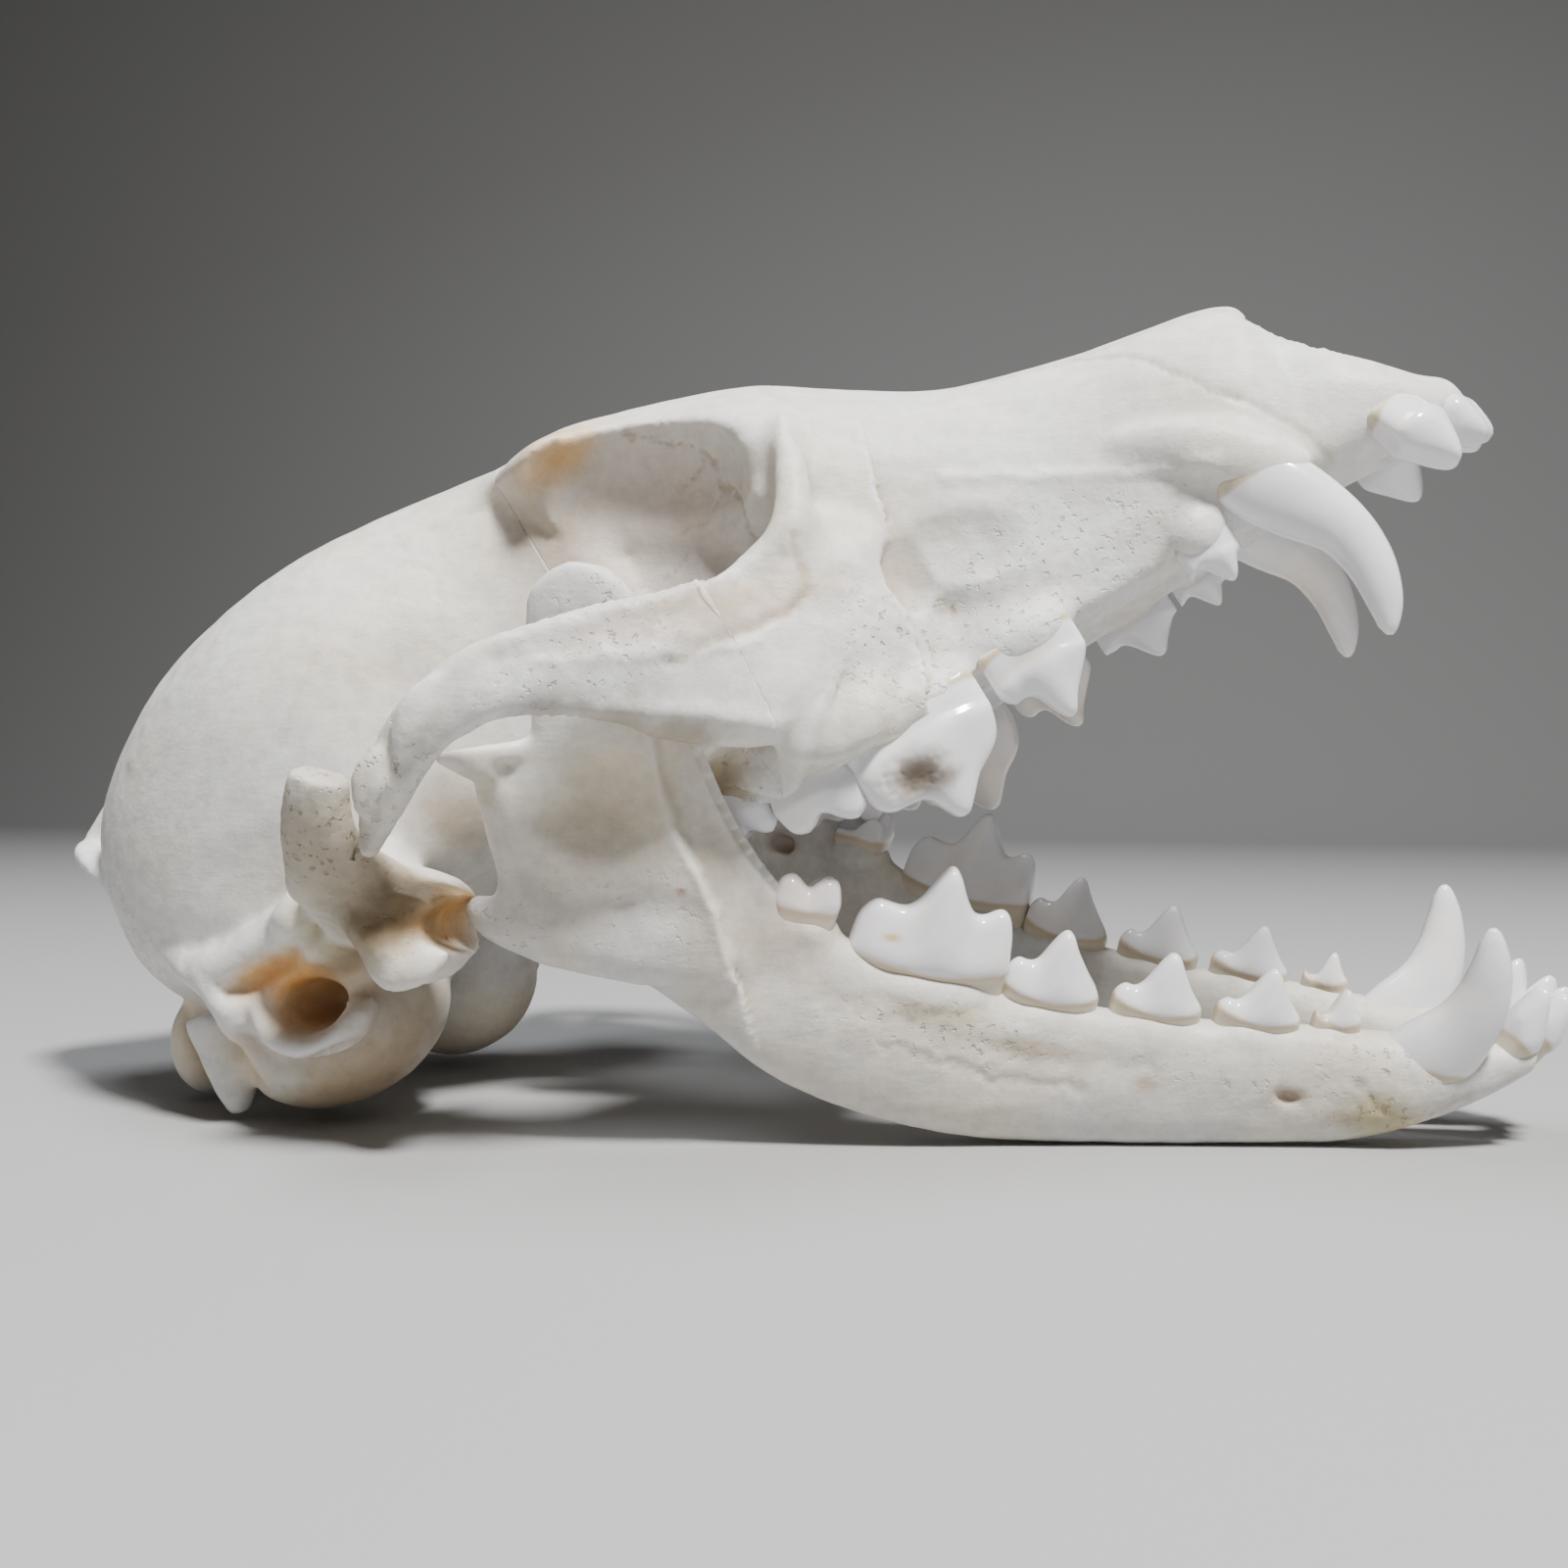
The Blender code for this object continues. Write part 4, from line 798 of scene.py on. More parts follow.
def cranium_bone():
    """The whole upper skull as one closed piece, before it is skinned."""
    bone = body("cranium", BRAINCASE)
    added = [
        body("muzzle", MUZZLE),
        body("premaxilla", PREMAXILLA),
        body("orbit_wall", ORBIT_WALL),
        body("upper_jaw", UPPER_JAW, square=0.7),
        bar("sagittal_crest", [
            (-5.2, 0, 40.8, 4, 2.2), (0.6, 0, 43.4, 4, 2), (8, 0, 47.1, 4, 1.8), (18, 0, 50.4, 3, 1.6),
            (30, 0, 51.3, 2, 1.4),
        ], 1),
        bar("face_ridge", [(60, 0, 40, 6, 4), (75, 0, 36, 6, 4), (90, 0, 28, 6, 4)], 1),
        bar("jugal_flake", [
            (55, 36.9, 22.8, 1.2, 1.2), (53.2, 37.3, 22, 2.8, 1.6), (51, 37.5, 20.8, 3, 1.7),
            (49.2, 37.2, 19.6, 2, 1.4), (48.2, 36.8, 18.9, 0.9, 1),
        ], RIGHT),
        bar("jugal_flake", [
            (47.4, 36.8, 20.6, 1.4, 1.2), (45.8, 37.1, 19.2, 3.2, 1.8), (44, 36.8, 17.6, 2.6, 1.6),
            (43, 36.4, 16.4, 1, 1),
        ], RIGHT),
    ]
    removed = [
        body("nose_opening", [
            (112, 3.4, 16.5, 12.5, 8.5), (120, 4.8, 18.6, 13, 7), (126, 5.6, 18.8, 12.6, 6),
            (131, 6, 20, 13, 5.6), (140, 6, 24, 14, 5.8),
        ], square=0.9),
        body("choana", [
            (43, 5.6, 8.6, 3, -6), (54, 5, 9, 4, -6), (63, 4.6, 8.6, 4, -4), (66, 4.2, 8.2, 5.6, 3.4),
            (76, 3.4, 7.6, 5.6, 3.6),
        ], square=0.8),
        body("palate_vault", [
            (62, 8, 1.6, -2, -6), (70, 11.2, 2.6, -2, -6), (80, 12, 2.8, -2, -6), (92, 10, 2.6, -2, -6),
            (106, 7.6, 2.4, -2, -6), (118, 6.6, 2, -2, -6), (128, 5.4, 1.2, -2, -6), (134, 4, 0, -2.5, -6),
        ], square=0.8),
        ball("foramen_magnum", (-2, 0, 18.6), (12, 6.7, 5.6), turn=(0, 12, 0)),
    ]
    for side in (RIGHT, LEFT):
        added += cranium_side(side)
        removed += cranium_hollows(side)
    boolean(bone, "UNION", added)
    boolean(bone, "DIFFERENCE", removed)
    return bone


# Where the cranium's parts flow into each other: passes of softening, then oval places
CRANIUM_JOINS = [
    (110, both([((31, 22, 14), (13, 7, 6)), ((14, 21, 15), (9, 5, 5)),
               ((71, 11, 28.6), (10, 6, 5.6)), ((86.8, 16.8, 30), (4, 4, 5)),
               ((84, 20, 18), (10, 6, 10)), ((62, 13, 44), (8, 6, 5)),
               ((8, 15, 13), (5, 6, 5)), ((24, 10, 11), (12, 8, 4))])),
    (40, both([((36, 26, 10), (8, 8, 5)), ((14, 19, 7), (7, 5, 7)),
               ((6, 14, 26), (7, 9, 14)), ((3, 9, 14), (6, 6, 7)),
               ((84, 17, 3), (9, 4, 3)), ((97, 13, 3), (8, 4, 3)),
               ((114, 10, 6), (12, 4, 9)), ((64, 33, 18), (14, 6, 6))])),
]
def from_sides(rows):
    """Lines that are drawn alike on both sides, seen from the side."""
    return [("side", PAIR, *row) for row in rows]


# Sutures seen from above: sides, then path, width, rise or fall, how far it wanders, and its darkness
TOP_LINES = [
    (MIDDLE, [(129, 0), (110, 0), (84, 0.2), (60, 0)], 0.26, -0.1, 0.25, 0.5),
    (MIDDLE, [(128, 4.6), (118, 4.8), (106, 4.6), (95, 3.9), (84, 1.6)], 0.26, -0.1, 0.45, 0.5),
    (MIDDLE, [(128, -4.6), (118, -4.8), (106, -4.6), (95, -3.9), (84, -1.6)], 0.26, -0.1, 0.45, 0.5),
    (PAIR, [(50, 0), (47, 6), (49, 12)], 0.3, -0.06, 0.9, 0.3),
]
# Lines seen from either side, with the same columns from path on
CRANIUM_LINES = [("top", *row) for row in TOP_LINES] + from_sides([
    ([(112, 25), (118, 20.5), (121.5, 14), (123.6, 10.5)], 0.26, -0.16, 0.35, 0.7),
    ([(123.6, 10.5), (126.4, 6), (128, 1.5)], 0.3, -0.12, 0.3, 0.4),
    ([(70.9, 14.3), (74.3, 14.5), (80.3, 14.1), (82.9, 15), (84.6, 20)], 0.4, -0.16, 0.4, 0.9),
    ([(84.8, 23.2), (88.6, 25.8), (91, 31), (88, 37.5), (90.6, 38.6)], 0.22, -0.05, 0.5, 0.3),
    ([(12.5, 26), (20.5, 30.4), (33, 30.4), (40.5, 36.7), (45.1, 30.5), (53.4, 25.1)],
     0.3, -0.05, 0.6, 0.3),
    ([(49, 46), (51.6, 38), (49, 31), (51, 26)], 0.26, -0.05, 0.7, 0.3),
    # fine cracks in the thin wall of the eye socket
    ([(74.4, 40.6), (78, 37), (80.5, 34.1), (80.1, 29.9), (80.7, 27.2), (80.4, 22.9)],
     0.16, -0.12, 0.9, 0.9),
    ([(80.5, 34.1), (77.6, 33), (75.6, 33.4)], 0.14, -0.1, 0.5, 0.9),
    ([(80.1, 29.9), (77, 29), (74, 29.6)], 0.14, -0.08, 0.5, 0.6),
    ([(73, 27.6), (70.4, 27), (66, 27.4)], 0.14, -0.08, 0.6, 0.5),
    # the ridge from the arch's root to the back of the skull, and the creases beneath it, darkened with
    # painted shade
    ([(31, 16.4), (26, 16), (20.1, 16), (15.6, 16.2), (12, 19)], 1.7, 0.8, 0.3, 0),
    ([(27.4, 13), (22.6, 12.8), (18, 13), (15, 13.8)], 1, -0.7, 0.3, 0.35),
    ([(29.4, 17.8), (27.6, 14.6), (27.6, 11.1), (29.8, 7.5)], 1.2, -0.8, 0.2, 0.3),
    # the lip under the ear opening and the groove beneath it; these grooves are darkened with painted shade
    ([(16.6, 11), (16.6, 8), (18.2, 5.7), (20.4, 4.5), (23.2, 4.2), (25.4, 5.2)], 0.9, 0.4, 0.2, 0),
    ([(13.8, 8.6), (14.8, 5.4), (18, 3.2), (23, 2.8)], 1.1, -0.8, 0.3, 0.35),
    ([(10.4, 14), (10.6, 9.4), (11, 5.6)], 1.2, -0.9, 0.3, 0.5),
    ([(3.2, 15), (3.4, 9)], 1, -0.7, 0.2, 0.4),
    # cheek: the scar of the chewing muscle, its groove darkened partly with painted shade, the groove under
    # the socket's rim and the arch's lower lip
    ([(60, 21.4), (66, 20), (72, 18.6), (78, 18.2), (82.4, 19)], 2, -0.8, 0.4, 0.3),
    ([(66.4, 25), (72, 23.6), (78, 24), (82.6, 27), (84.4, 31.5)], 1.1, 0.3, 0.2, 0),
    ([(60, 15.4), (66, 12.8), (71, 9.4), (74.6, 6.4)], 0.9, 0.45, 0.3, 0),
    ([(63, 19.2), (68, 16.6), (73, 14.2), (77, 12.9)], 0.5, 0.22, 0.5, 0),
    # muzzle: the line that bounds the rough bone above the premolars
    ([(98, 19), (106, 14), (113, 9.6), (119, 6.4)], 0.6, 0.22, 0.6, 0),
    # the faint line of the temple muscle
    ([(63, 43.6), (54, 44.6), (44, 46), (34, 45.6), (24, 43.6), (15, 40)],
     1, 0.22, 0.5, 0),
])
# Sharp edges: path, how deep the bone drops on its left and how far the drop reaches
CRANIUM_LEDGES = [
    ([(91.6, 17.8), (91.2, 16.4), (89.6, 14.6), (89, 12.4), (89.4, 9.4), (88.4, 6.6)], -1.5, 6.5),
    ([(79.5, 5.6), (74.4, 1.6), (71.6, -0.4), (68.6, 3)], -0.7, 3),
]
# Stains, and painted shade where shadow falls: centre, radii, colour and strength
CRANIUM_STAINS = [
    ((67.6, -12.8, 41.6), (4.4, 4.4, 2.2), AMBER, 0.95),
    ((70, -12, 42), (4, 4, 1.4), HONEY, 0.7),
    # Painted shadow behind the brow, on the rear wall of the right eye socket
    ((62.4, -12, 37.5), (3.6, 6, 6.5), BROWN, 0.6),
    *both([((72, 10.5, 31), (11, 5, 9), ROSE, 1)]),
    # A brown band under the right socket's rim: partly the bone's own tone, partly painted shade in the
    # groove there
    ((83.4, -20, 14.8), (4.4, 5, 1.9), BROWN, 0.5),
    ((79, -23.6, 16), (5, 6, 2.4), BROWN, 0.75),
    ((73.8, -27, 17.2), (6, 6, 2.8), BROWN, 0.75),
    ((67.6, -31, 18.8), (6, 6, 2.2), BROWN, 0.55),
    # Painted shadow under the lower edge of the right cheek arch
    ((59.6, -33, 15.6), (4.6, 5, 2.2), UMBER, 0.7),
    ((63.8, -31, 12.4), (4, 5, 2.4), UMBER, 0.9),
    ((67, -28, 8.8), (4, 5, 2.4), UMBER, 0.9),
    # Painted shade on the right temple stub and its root, mixed with dust
    ((37.4, -33, 18), (7.5, 6, 8), DUST_AND_SHADE, 1),
    ((36, -28, 12), (7, 6, 4), DUST_AND_SHADE, 0.8),
    # Painted shade in the right joint's hollow, then in the crease behind it
    ((36, -29, 9.6), (6.4, 4.6, 3.6), UMBER, 0.9),
    ((40, -28, 10.4), (4.4, 4, 2.4), UMBER, 0.6),
    ((27.6, -24, 13), (1.8, 4, 5), OLIVE, 0.6),
    ((47, -36, 20.5), (5, 2.4, 3.2), DUST_AND_SHADE, 0.4),
    # Painted shade low on the braincase's right side, in front of the joint
    ((41.8, -17, 15.4), (3.4, 5, 6.4), UMBER, 0.75),
    ((66.6, -20, 5.2), (4, 4, 3.6), UMBER, 1),
    ((66.5, 20, 4.5), (4.5, 4, 4.5), BROWN, 0.5),
    ((79.5, -20.5, 3.5), (3, 3, 2.4), OLIVE, 0.45),
    ((40.5, -24, 7.6), (3.4, 6, 2.8), AMBER, 1),
    ((38, -26, 8.6), (5, 6, 3), HONEY, 0.8),
    ((18.4, -21, 13.4), (3.4, 4, 1.7), AMBER, 1),
    ((22, -21, 12), (4.2, 4, 2.2), AMBER, 1),
    ((26.4, -21, 10), (3.4, 4, 1.8), UMBER, 0.8),
    # Painted shade on the front of the right bulla, under the joint's overhang
    ((28, -16, 4.4), (4.8, 8, 6.4), UMBER, 0.7),
    ((18, -17, -0.4), (9, 8, 3.4), BROWN, 0.6),
    # Painted shade low on the right side of the occiput
    ((4, -12, 9), (3.4, 5, 7), BROWN, 0.6),
    ((22, -19, 9.4), (5.6, 5, 3.4), AMBER, 1),
    # Painted shade deep in the right ear opening
    ((21.6, -15.6, 8.2), (4.6, 3.6, 3.6), BROWN, 0.9),
    ((11, -19, 7), (3.4, 4, 5), HONEY, 0.9),
    ((2.4, -11, 12), (3.4, 6, 8), HONEY, 0.8),
    ((20, -16, 0.6), (11, 8, 3.6), HONEY, 0.8),
    ((20, 14, 0.6), (11, 8, 3.6), HONEY, 0.7),
    # Painted shade deep in the left ear opening
    ((22, 18, 8), (4.6, 4.6, 3.6), BROWN, 0.8),
    # Painted shade in and around the opening for the spinal cord
    ((5, 0, 18.6), (9, 7, 6.5), BROWN, 0.6),
    ((50, 0, 6), (16, 8, 6), HONEY, 0.6),
    ((38, 24, 9), (6, 8, 5), HONEY, 0.6),
    # Painted shade inside the nose opening
    ((118, 0, 12), (10, 6, 6), BROWN, 0.6),
    # Painted shade in the canals in front of the eye sockets
    *both([((88, 14, 12.6), (4, 2.6, 3), BROWN, 0.5)]),
]
# Where the bone is pitted and rough: centre, radii, strength
CRANIUM_PITS = [
    *both([((101, 13, 6), (13, 4, 6), 0.8), ((86, 18, 7), (6, 5, 6), 0.9), ((67, 20, 4), (6, 4, 4.5), 1),
           ((64, 33, 18), (12, 5, 4), 0.6)]),
    ((38.5, -33, 19), (6, 5, 7), 1),
    ((46, -36, 19), (6, 3, 5), 0.8),
    *both([((4, 14, 28), (6, 9, 14), 0.4)]),
    ((38, -24, 8), (5, 8, 4), 0.5),
]
# Gentle hollows and swellings: centre, radii, and how far the surface moves outward
CRANIUM_RELIEF = [
    *both([((103, 13, 9), (8, 4, 4), -0.6)]),
    ((81.6, -20.5, 2.4), (2.4, 3, 3.4), 0.5),
    ((88.6, -16.5, 2.4), (2.2, 3, 3.6), 0.4),
    ((76, -24, 6), (5, 5, 4), 0.4),
    ((88, 0, 41), (12, 2.6, 5), -0.5),
    *both([((66, 10, 49), (5, 4, 4), -0.3), ((44, 20, 26), (7, 6, 8), -0.8),
           ((24, 24, 22), (6, 5, 3.4), -0.5)]),
    ((24.4, -19.5, 3.6), (3.4, 3, 2.4), 0.5),
]


# Unevenness of all bone and of pitted bone, and how hollows count for the painted shade in hollows: passes
# of softening, weight
BONE_WAVES = [(0.12, 0.13, 0), (0.05, 0.45, 40)]
PITTED_WAVES = [(0.1, 1, 9), (0.06, 2, 29)]
HOLLOWS = [(8, 1.6), (60, 0.3)]
LINE_SHADE = (0.22, 0.28, 0.36)
RAGGED = 0.4


def worked_bone(obj, lines, ledges, sides, stains, pits, relief):
    """Give a skinned bone its relief, sutures, pits, stains and painted shade."""
    points = points_of(obj.data)
    normals = normals_of(obj.data)
    pitted = np.zeros(len(points))
    for seed, (centre, radii, strength) in enumerate(pits):
        pitted = np.maximum(pitted, strength * spot(points, centre, radii, RAGGED, 5 * seed))
    out = waves(points, BONE_WAVES)
    for centre, radii, amount in relief:
        out += amount * spot(points, centre, radii)
    out += pitted * waves(points, PITTED_WAVES)
    dark = np.zeros(len(points))
    for plane, halves, path, width, rise, wander, shade in lines:
        for side in halves:
            if side in sides:
                value = stroke(points, normals, plane, side, path, width, wander)
                out += rise * value
                dark = np.maximum(dark, shade * value)
    for path, drop, reach in ledges:
        for side in PAIR:
            if side in sides:
                out += drop * ledge(points, normals, side, path, reach)
    move_points(obj.data, points + normals * out[:, None])
    points = points_of(obj.data)
    normals = normals_of(obj.data)
    # The depth of the hollows drives the painted shade in hollows and the painted light on bulges and edges
    depth = sum(weight * hollows_of(obj, points, normals, passes) for passes, weight in HOLLOWS)
    keep_values(obj, "hollow", 0.5 + depth)
    keep_tint(obj, stained(points, stains) * (1 - dark[:, None] * np.array(LINE_SHADE)))
    keep_values(obj, "pitted", pitted)
    return obj


def set_down(obj, pose):
    """Put a drawn piece in its place in the pose, in metres."""
    obj.data.transform(Matrix.Scale(MM, 4) @ pose)
    obj.data.shade_smooth()
    return obj


def thin_cut(name, cut, side, width=HAIR_GAP):
    (x, y, z), (length, height), (roll, pitch, heading) = cut
    return box(name, (x, y * side, z), (width, length, height), turn=(roll, pitch, heading * side))


def part_cranium(bone):
    """Part the cranium with hair-thin cuts, and name its pieces by where they lie."""
    cuts = [
        thin_cut("neck_cut", NECK_CUT, LEFT),
        thin_cut("cheek_cut", CHEEK_CUT, RIGHT),
        thin_cut("cheek_cut", CHEEK_CUT, LEFT),
        thin_cut("temple_cut", TEMPLE_CUT, LEFT),
        thin_cut("broken_gap", BROKEN_GAP, RIGHT, BROKEN_WIDTH),
    ]
    boolean(bone, "DIFFERENCE", cuts, solver="MANIFOLD")
    named = {}
    for piece in split(bone):
        corners = [Vector(corner) for corner in piece.bound_box]
        middle = sum(corners, Vector()) / len(corners)
        if abs(middle.y) > ARCH_SIDE:
            name = "zygomatic_arch_left" if middle.y > 0 else "zygomatic_arch_right"
        else:
            name = "braincase" if middle.x < NECK_SIDE else "snout"
        if name in named:
            discard([piece])
        else:
            named[name] = piece
    return named


# Lower jaw
def ramus_plate(side):
    """The upright plate of the jaw, thin, bowed outward, with rounded edges."""
    rings = []
    for z, rear, front, half, away in smooth_rows(RAMUS, ROW_STEPS):
        ring = []
        for i in range(JAW_SIDES):
            c, s = squared(2 * math.pi * i / JAW_SIDES, JAW_SQUARE)
            x = (rear + front) / 2 + (front - rear) / 2 * c
            fold = 22 + max(0, 28.4 - z) * 0.58
            plan = away + (20 - x) * 0.13 - max(0, x - fold) * 0.42
            ring.append(Vector((x, (plan + half * s) * side, z)))
        rings.append(ring)
    return drawn_out("ramus", rings)


def jaw_bone(side):
    rings = []
    for x, away, half, top, bottom in smooth_rows(JAW_BODY, ROW_STEPS):
        row = section((x, half, top, bottom + (top - bottom) * 0.55, bottom), JAW_SIDES, JAW_SQUARE)
        rings.append([Vector((p.x, (away + p.y) * side, p.z)) for p in row])
    bone = drawn_out("jaw", rings)
    added = [
        ramus_plate(side),
        bar("front_edge", [
            (35, 19.2, 14, 4, 4.2), (30.6, 20.6, 18.6, 3.4, 3.4), (27.2, 22.2, 23.6, 2.8, 2.8),
            (24.2, 23.2, 29, 2.4, 2.2), (20.2, 24.2, 36, 2.2, 1.8),
        ], side),
        bar("condyle", [
            (9, 18.8, 22.6, 2.2, 2.4), (8.6, 21.6, 23.4, 4.4, 4.2), (7.8, 25.2, 24, 4, 4),
            (6.6, 29, 24.6, 2.6, 3.2), (5.4, 31.4, 25.1, 1.4, 2), (4.8, 32.4, 25.3, 0.8, 1),
        ], side,
            outward=(1, 0, 0)),
        bar("condyle_crest", [
            (5.4, 31.2, 25.3, 1.4, 1.2), (8, 28.6, 25.9, 1.8, 1.6), (10.6, 26.6, 26.6, 2.2, 2),
            (13.6, 25.6, 28.6, 2.4, 2.4),
        ], side),
        bar("neck", [(12, 25, 14, 5, 3.6), (9.6, 25.4, 19, 4.6, 3.6), (8, 25.6, 23.4, 4.6, 4)], side),
        bar("angle", [
            (18, 23.8, 9.4, 5, 3.6), (12, 24.6, 9.6, 4.6, 3.4), (8.4, 24.8, 10.4, 3.6, 2.8),
            (6.6, 24.8, 11.4, 1.8, 1.8),
        ], side),
    ]
    removed = [
        ball("muscle_hollow", (19.4, 30.6, 21.6), (8.6, 4.6, 11), turn=(0, -14, 0), side=side),
        box("symphysis", (100, (SYMPHYSIS_GAP / 2 - 10) * side, 10), (60, 20, 60)),
        ball("chin_hole", (83, 11.4, 6), (1.5, 1.6, 0.8), side=side, detail=16),
        ball("chin_hole", (70, 14.3, 5), (1.1, 1.2, 0.6), side=side, detail=16),
        ball("nerve_hole", (27, 20.2, 12.6), (2.2, 1.4, 1.2), side=side, detail=16),
    ]
    shift = LEFT_ROW_SHIFT if side == LEFT else 0
    for name, (x, y, z, heading, lean, length, width, outline) in LOWER_BLADES.items():
        if not name.startswith("i"):
            added.append(root_swell((x + shift, y, z), heading, length, width, LOWER_SWELL, side))
    for x, y, z, heading, length, width, cusps in LOWER_MILLS.values():
        added.append(root_swell((x, y, z), heading, length, width, MILL_SWELL, side))
    boolean(bone, "UNION", added)
    boolean(bone, "DIFFERENCE", removed)
    return bone


# Where the jaw's parts flow into each other, and its marks, all with the cranium's columns
JAW_JOINS = [
    (40, both([((10, 25, 18), (5, 4, 5)), ((14, 25, 11), (9, 4, 4)),
               ((30, 21, 14), (8, 4, 9)), ((93, 6, 9), (7, 5, 6)),
               ((22, 24.5, 30), (5, 4, 9))])),
    (16, both([((36, 18.5, 13), (6, 4, 4)), ((48, 15.5, 9), (12, 4, 3.5)),
               ((64, 11.6, 9), (12, 4, 3)),
               ((82, 8, 10), (9, 4, 3)), ((8, 25.6, 23), (4, 7, 4))])),
]
JAW_LINES = from_sides([
    ([(88.5, 8.6), (92, 6), (95.4, 6.4), (98.6, 9.4)], 0.4, -0.14, 0.5, 0.6),
    # the front ridge of the muscle's hollow, and the ridges behind and below it
    ([(21.4, 31), (22.6, 27.4), (24.8, 22.3), (27.3, 18.8), (29.6, 15.3), (31.5, 11)],
     0.7, 0.4, 0.2, 0),
    ([(8.6, 22.4), (11, 19.6), (15, 18.4), (19, 18)], 1.5, 0.35, 0.2, 0),
    # Grooves on the ramus and the jaw's body, darkened with painted shade
    ([(12, 15.4), (16, 13.6), (21, 14)], 1.5, -0.4, 0.3, 0.15),
    ([(40, 8.8), (50, 6.6), (60, 5.8), (70, 6.6)], 1.4, -0.3, 0.6, 0.12),
    ([(46, 5.2), (56, 3.4), (64, 3.6)], 0.5, -0.18, 0.8, 0.3),
])
JAW_LEDGES = [
    ([(21.4, 31), (22.6, 27.4), (24.8, 22.3), (27.3, 18.8), (29.6, 15.3), (31.8, 10)], -1.3, 5),
]
JAW_STAINS = [
    ((91, -8, 5.6), (3.4, 3.4, 2.6), OLIVE, 1),
    ((94.4, -7, 4.4), (1.6, 3, 1.8), AMBER, 0.5),
    ((88, -9, 5), (2, 3, 0.7), BROWN, 0.5),
    # Painted shadow of the cheek arch on the upper part of the muscle's hollow
    ((18.6, -26.5, 22), (7, 4, 6.5), HONEY, 0.6),
    # Painted shade on the strip in front of the muscle's ridge, and on the jaw below the second molar
    ((28.6, -22.5, 15), (2.6, 4, 8), BROWN, 0.35),
    ((35, -20.5, 13.6), (5, 4, 3.4), BROWN, 0.45),
    ((7, -29, 22.6), (2.4, 4, 2.4), OLIVE, 0.6),
    ((59.5, -15.8, 6.6), (6, 1.8, 0.9), BROWN, 0.55),
    ((52, -18.2, 8.6), (8, 2, 1.2), HONEY, 0.6),
    ((26.2, -25.6, 16.6), (0.5, 1.8, 0.3), BLOOD, 0.9),
    # Painted shade in the chin holes
    ((83, -10.8, 6), (1.8, 1.6, 1.1), BROWN, 0.8),
    ((70, -13.6, 5), (1.4, 1.4, 0.9), BROWN, 0.7),
    ((20, -21, 24), (9, 2, 10), HONEY, 0.4),
    # Painted shade in the nerve hole
    ((27, -19.5, 12.6), (2.6, 1.6, 1.6), BROWN, 0.7),
]
JAW_PITS = [
    ((52, -18, 7), (12, 4, 2.6), 0.8),
    ((91, -8, 8), (7, 4, 6), 0.7),
    ((20, -26, 14), (10, 3, 5), 0.35),
    ((10, -25, 10), (5, 4, 3), 0.7),
    ((16, -25, 40), (6, 3, 4), 0.6),
    ((75, -11, 7), (10, 3, 2), 0.5),
]
JAW_RELIEF = [
    ((18, -28, 25), (7, 4, 4.4), -0.7),
    ((18.8, -28, 18.2), (4.6, 4, 3.2), 0.5),
    ((24.6, -27, 14.6), (4.4, 4, 2), -0.35),
    ((16, -27, 9.6), (9, 4, 1.8), 0.35),
    ((86, -10.5, 5), (6, 4, 4), -0.3),
]


def on_side(rows, side):
    """The marks drawn on the right half, on the given half."""
    return [((x, -y * side, z), *rest) for (x, y, z), *rest in rows]


# Teeth
# Half width of a blade tooth from its neck to its edge: share of the height, share of the width
BLADE_BELLY = [
    (0, 0.86), (0.07, 1), (0.18, 1.07), (0.34, 1.02), (0.52, 0.88), (0.7, 0.72), (0.84, 0.58), (0.94, 0.44),
    (1, 0.24),
]
NECK_RISE = 1
UPPER = -1
LOWER = 1
# How far the enamel reaches beyond the tables' neck level, towards the bone, by jaw
ENAMEL_REACH = {UPPER: 2.6, LOWER: -0.3}
FANG_NECK = {UPPER: 4, LOWER: 10.6}
NECK_WAVES = [(0.12, 0.8, 3)]
# Width of a broad molar's inner side, as a share of its outer side
MILL_TAPER = {UPPER: 0.6, LOWER: 1}


def blade_tooth(name, length, width, outline):
    """A flat-sided tooth in a frame of its own, the lowest point of its enamel at height 0."""
    rings = []
    highest = max(height for along, height in outline)
    for along, height in smooth_rows(outline, TOOTH_STEPS):
        along = min(max(along, -0.5), 0.5)
        round_end = math.sqrt(max(0, 1 - abs(2 * along) ** 3.4))
        half = width / 2 * (0.4 + 0.6 * round_end) * (0.72 + 0.28 * height / highest)
        neck = NECK_RISE * (2 * along) ** 2
        rise = max(height - neck, 0.6)
        outer = [(half * 0.66, -TOOTH_ROOT), (half * 0.82, neck - 1.2)]
        outer += [(half * share, neck + rise * part) for part, share in BLADE_BELLY]
        inner = [(-y, z) for y, z in reversed(outer)]
        rings.append([Vector((along * length, y, z)) for y, z in outer + inner])
    return drawn_out(name, rings)


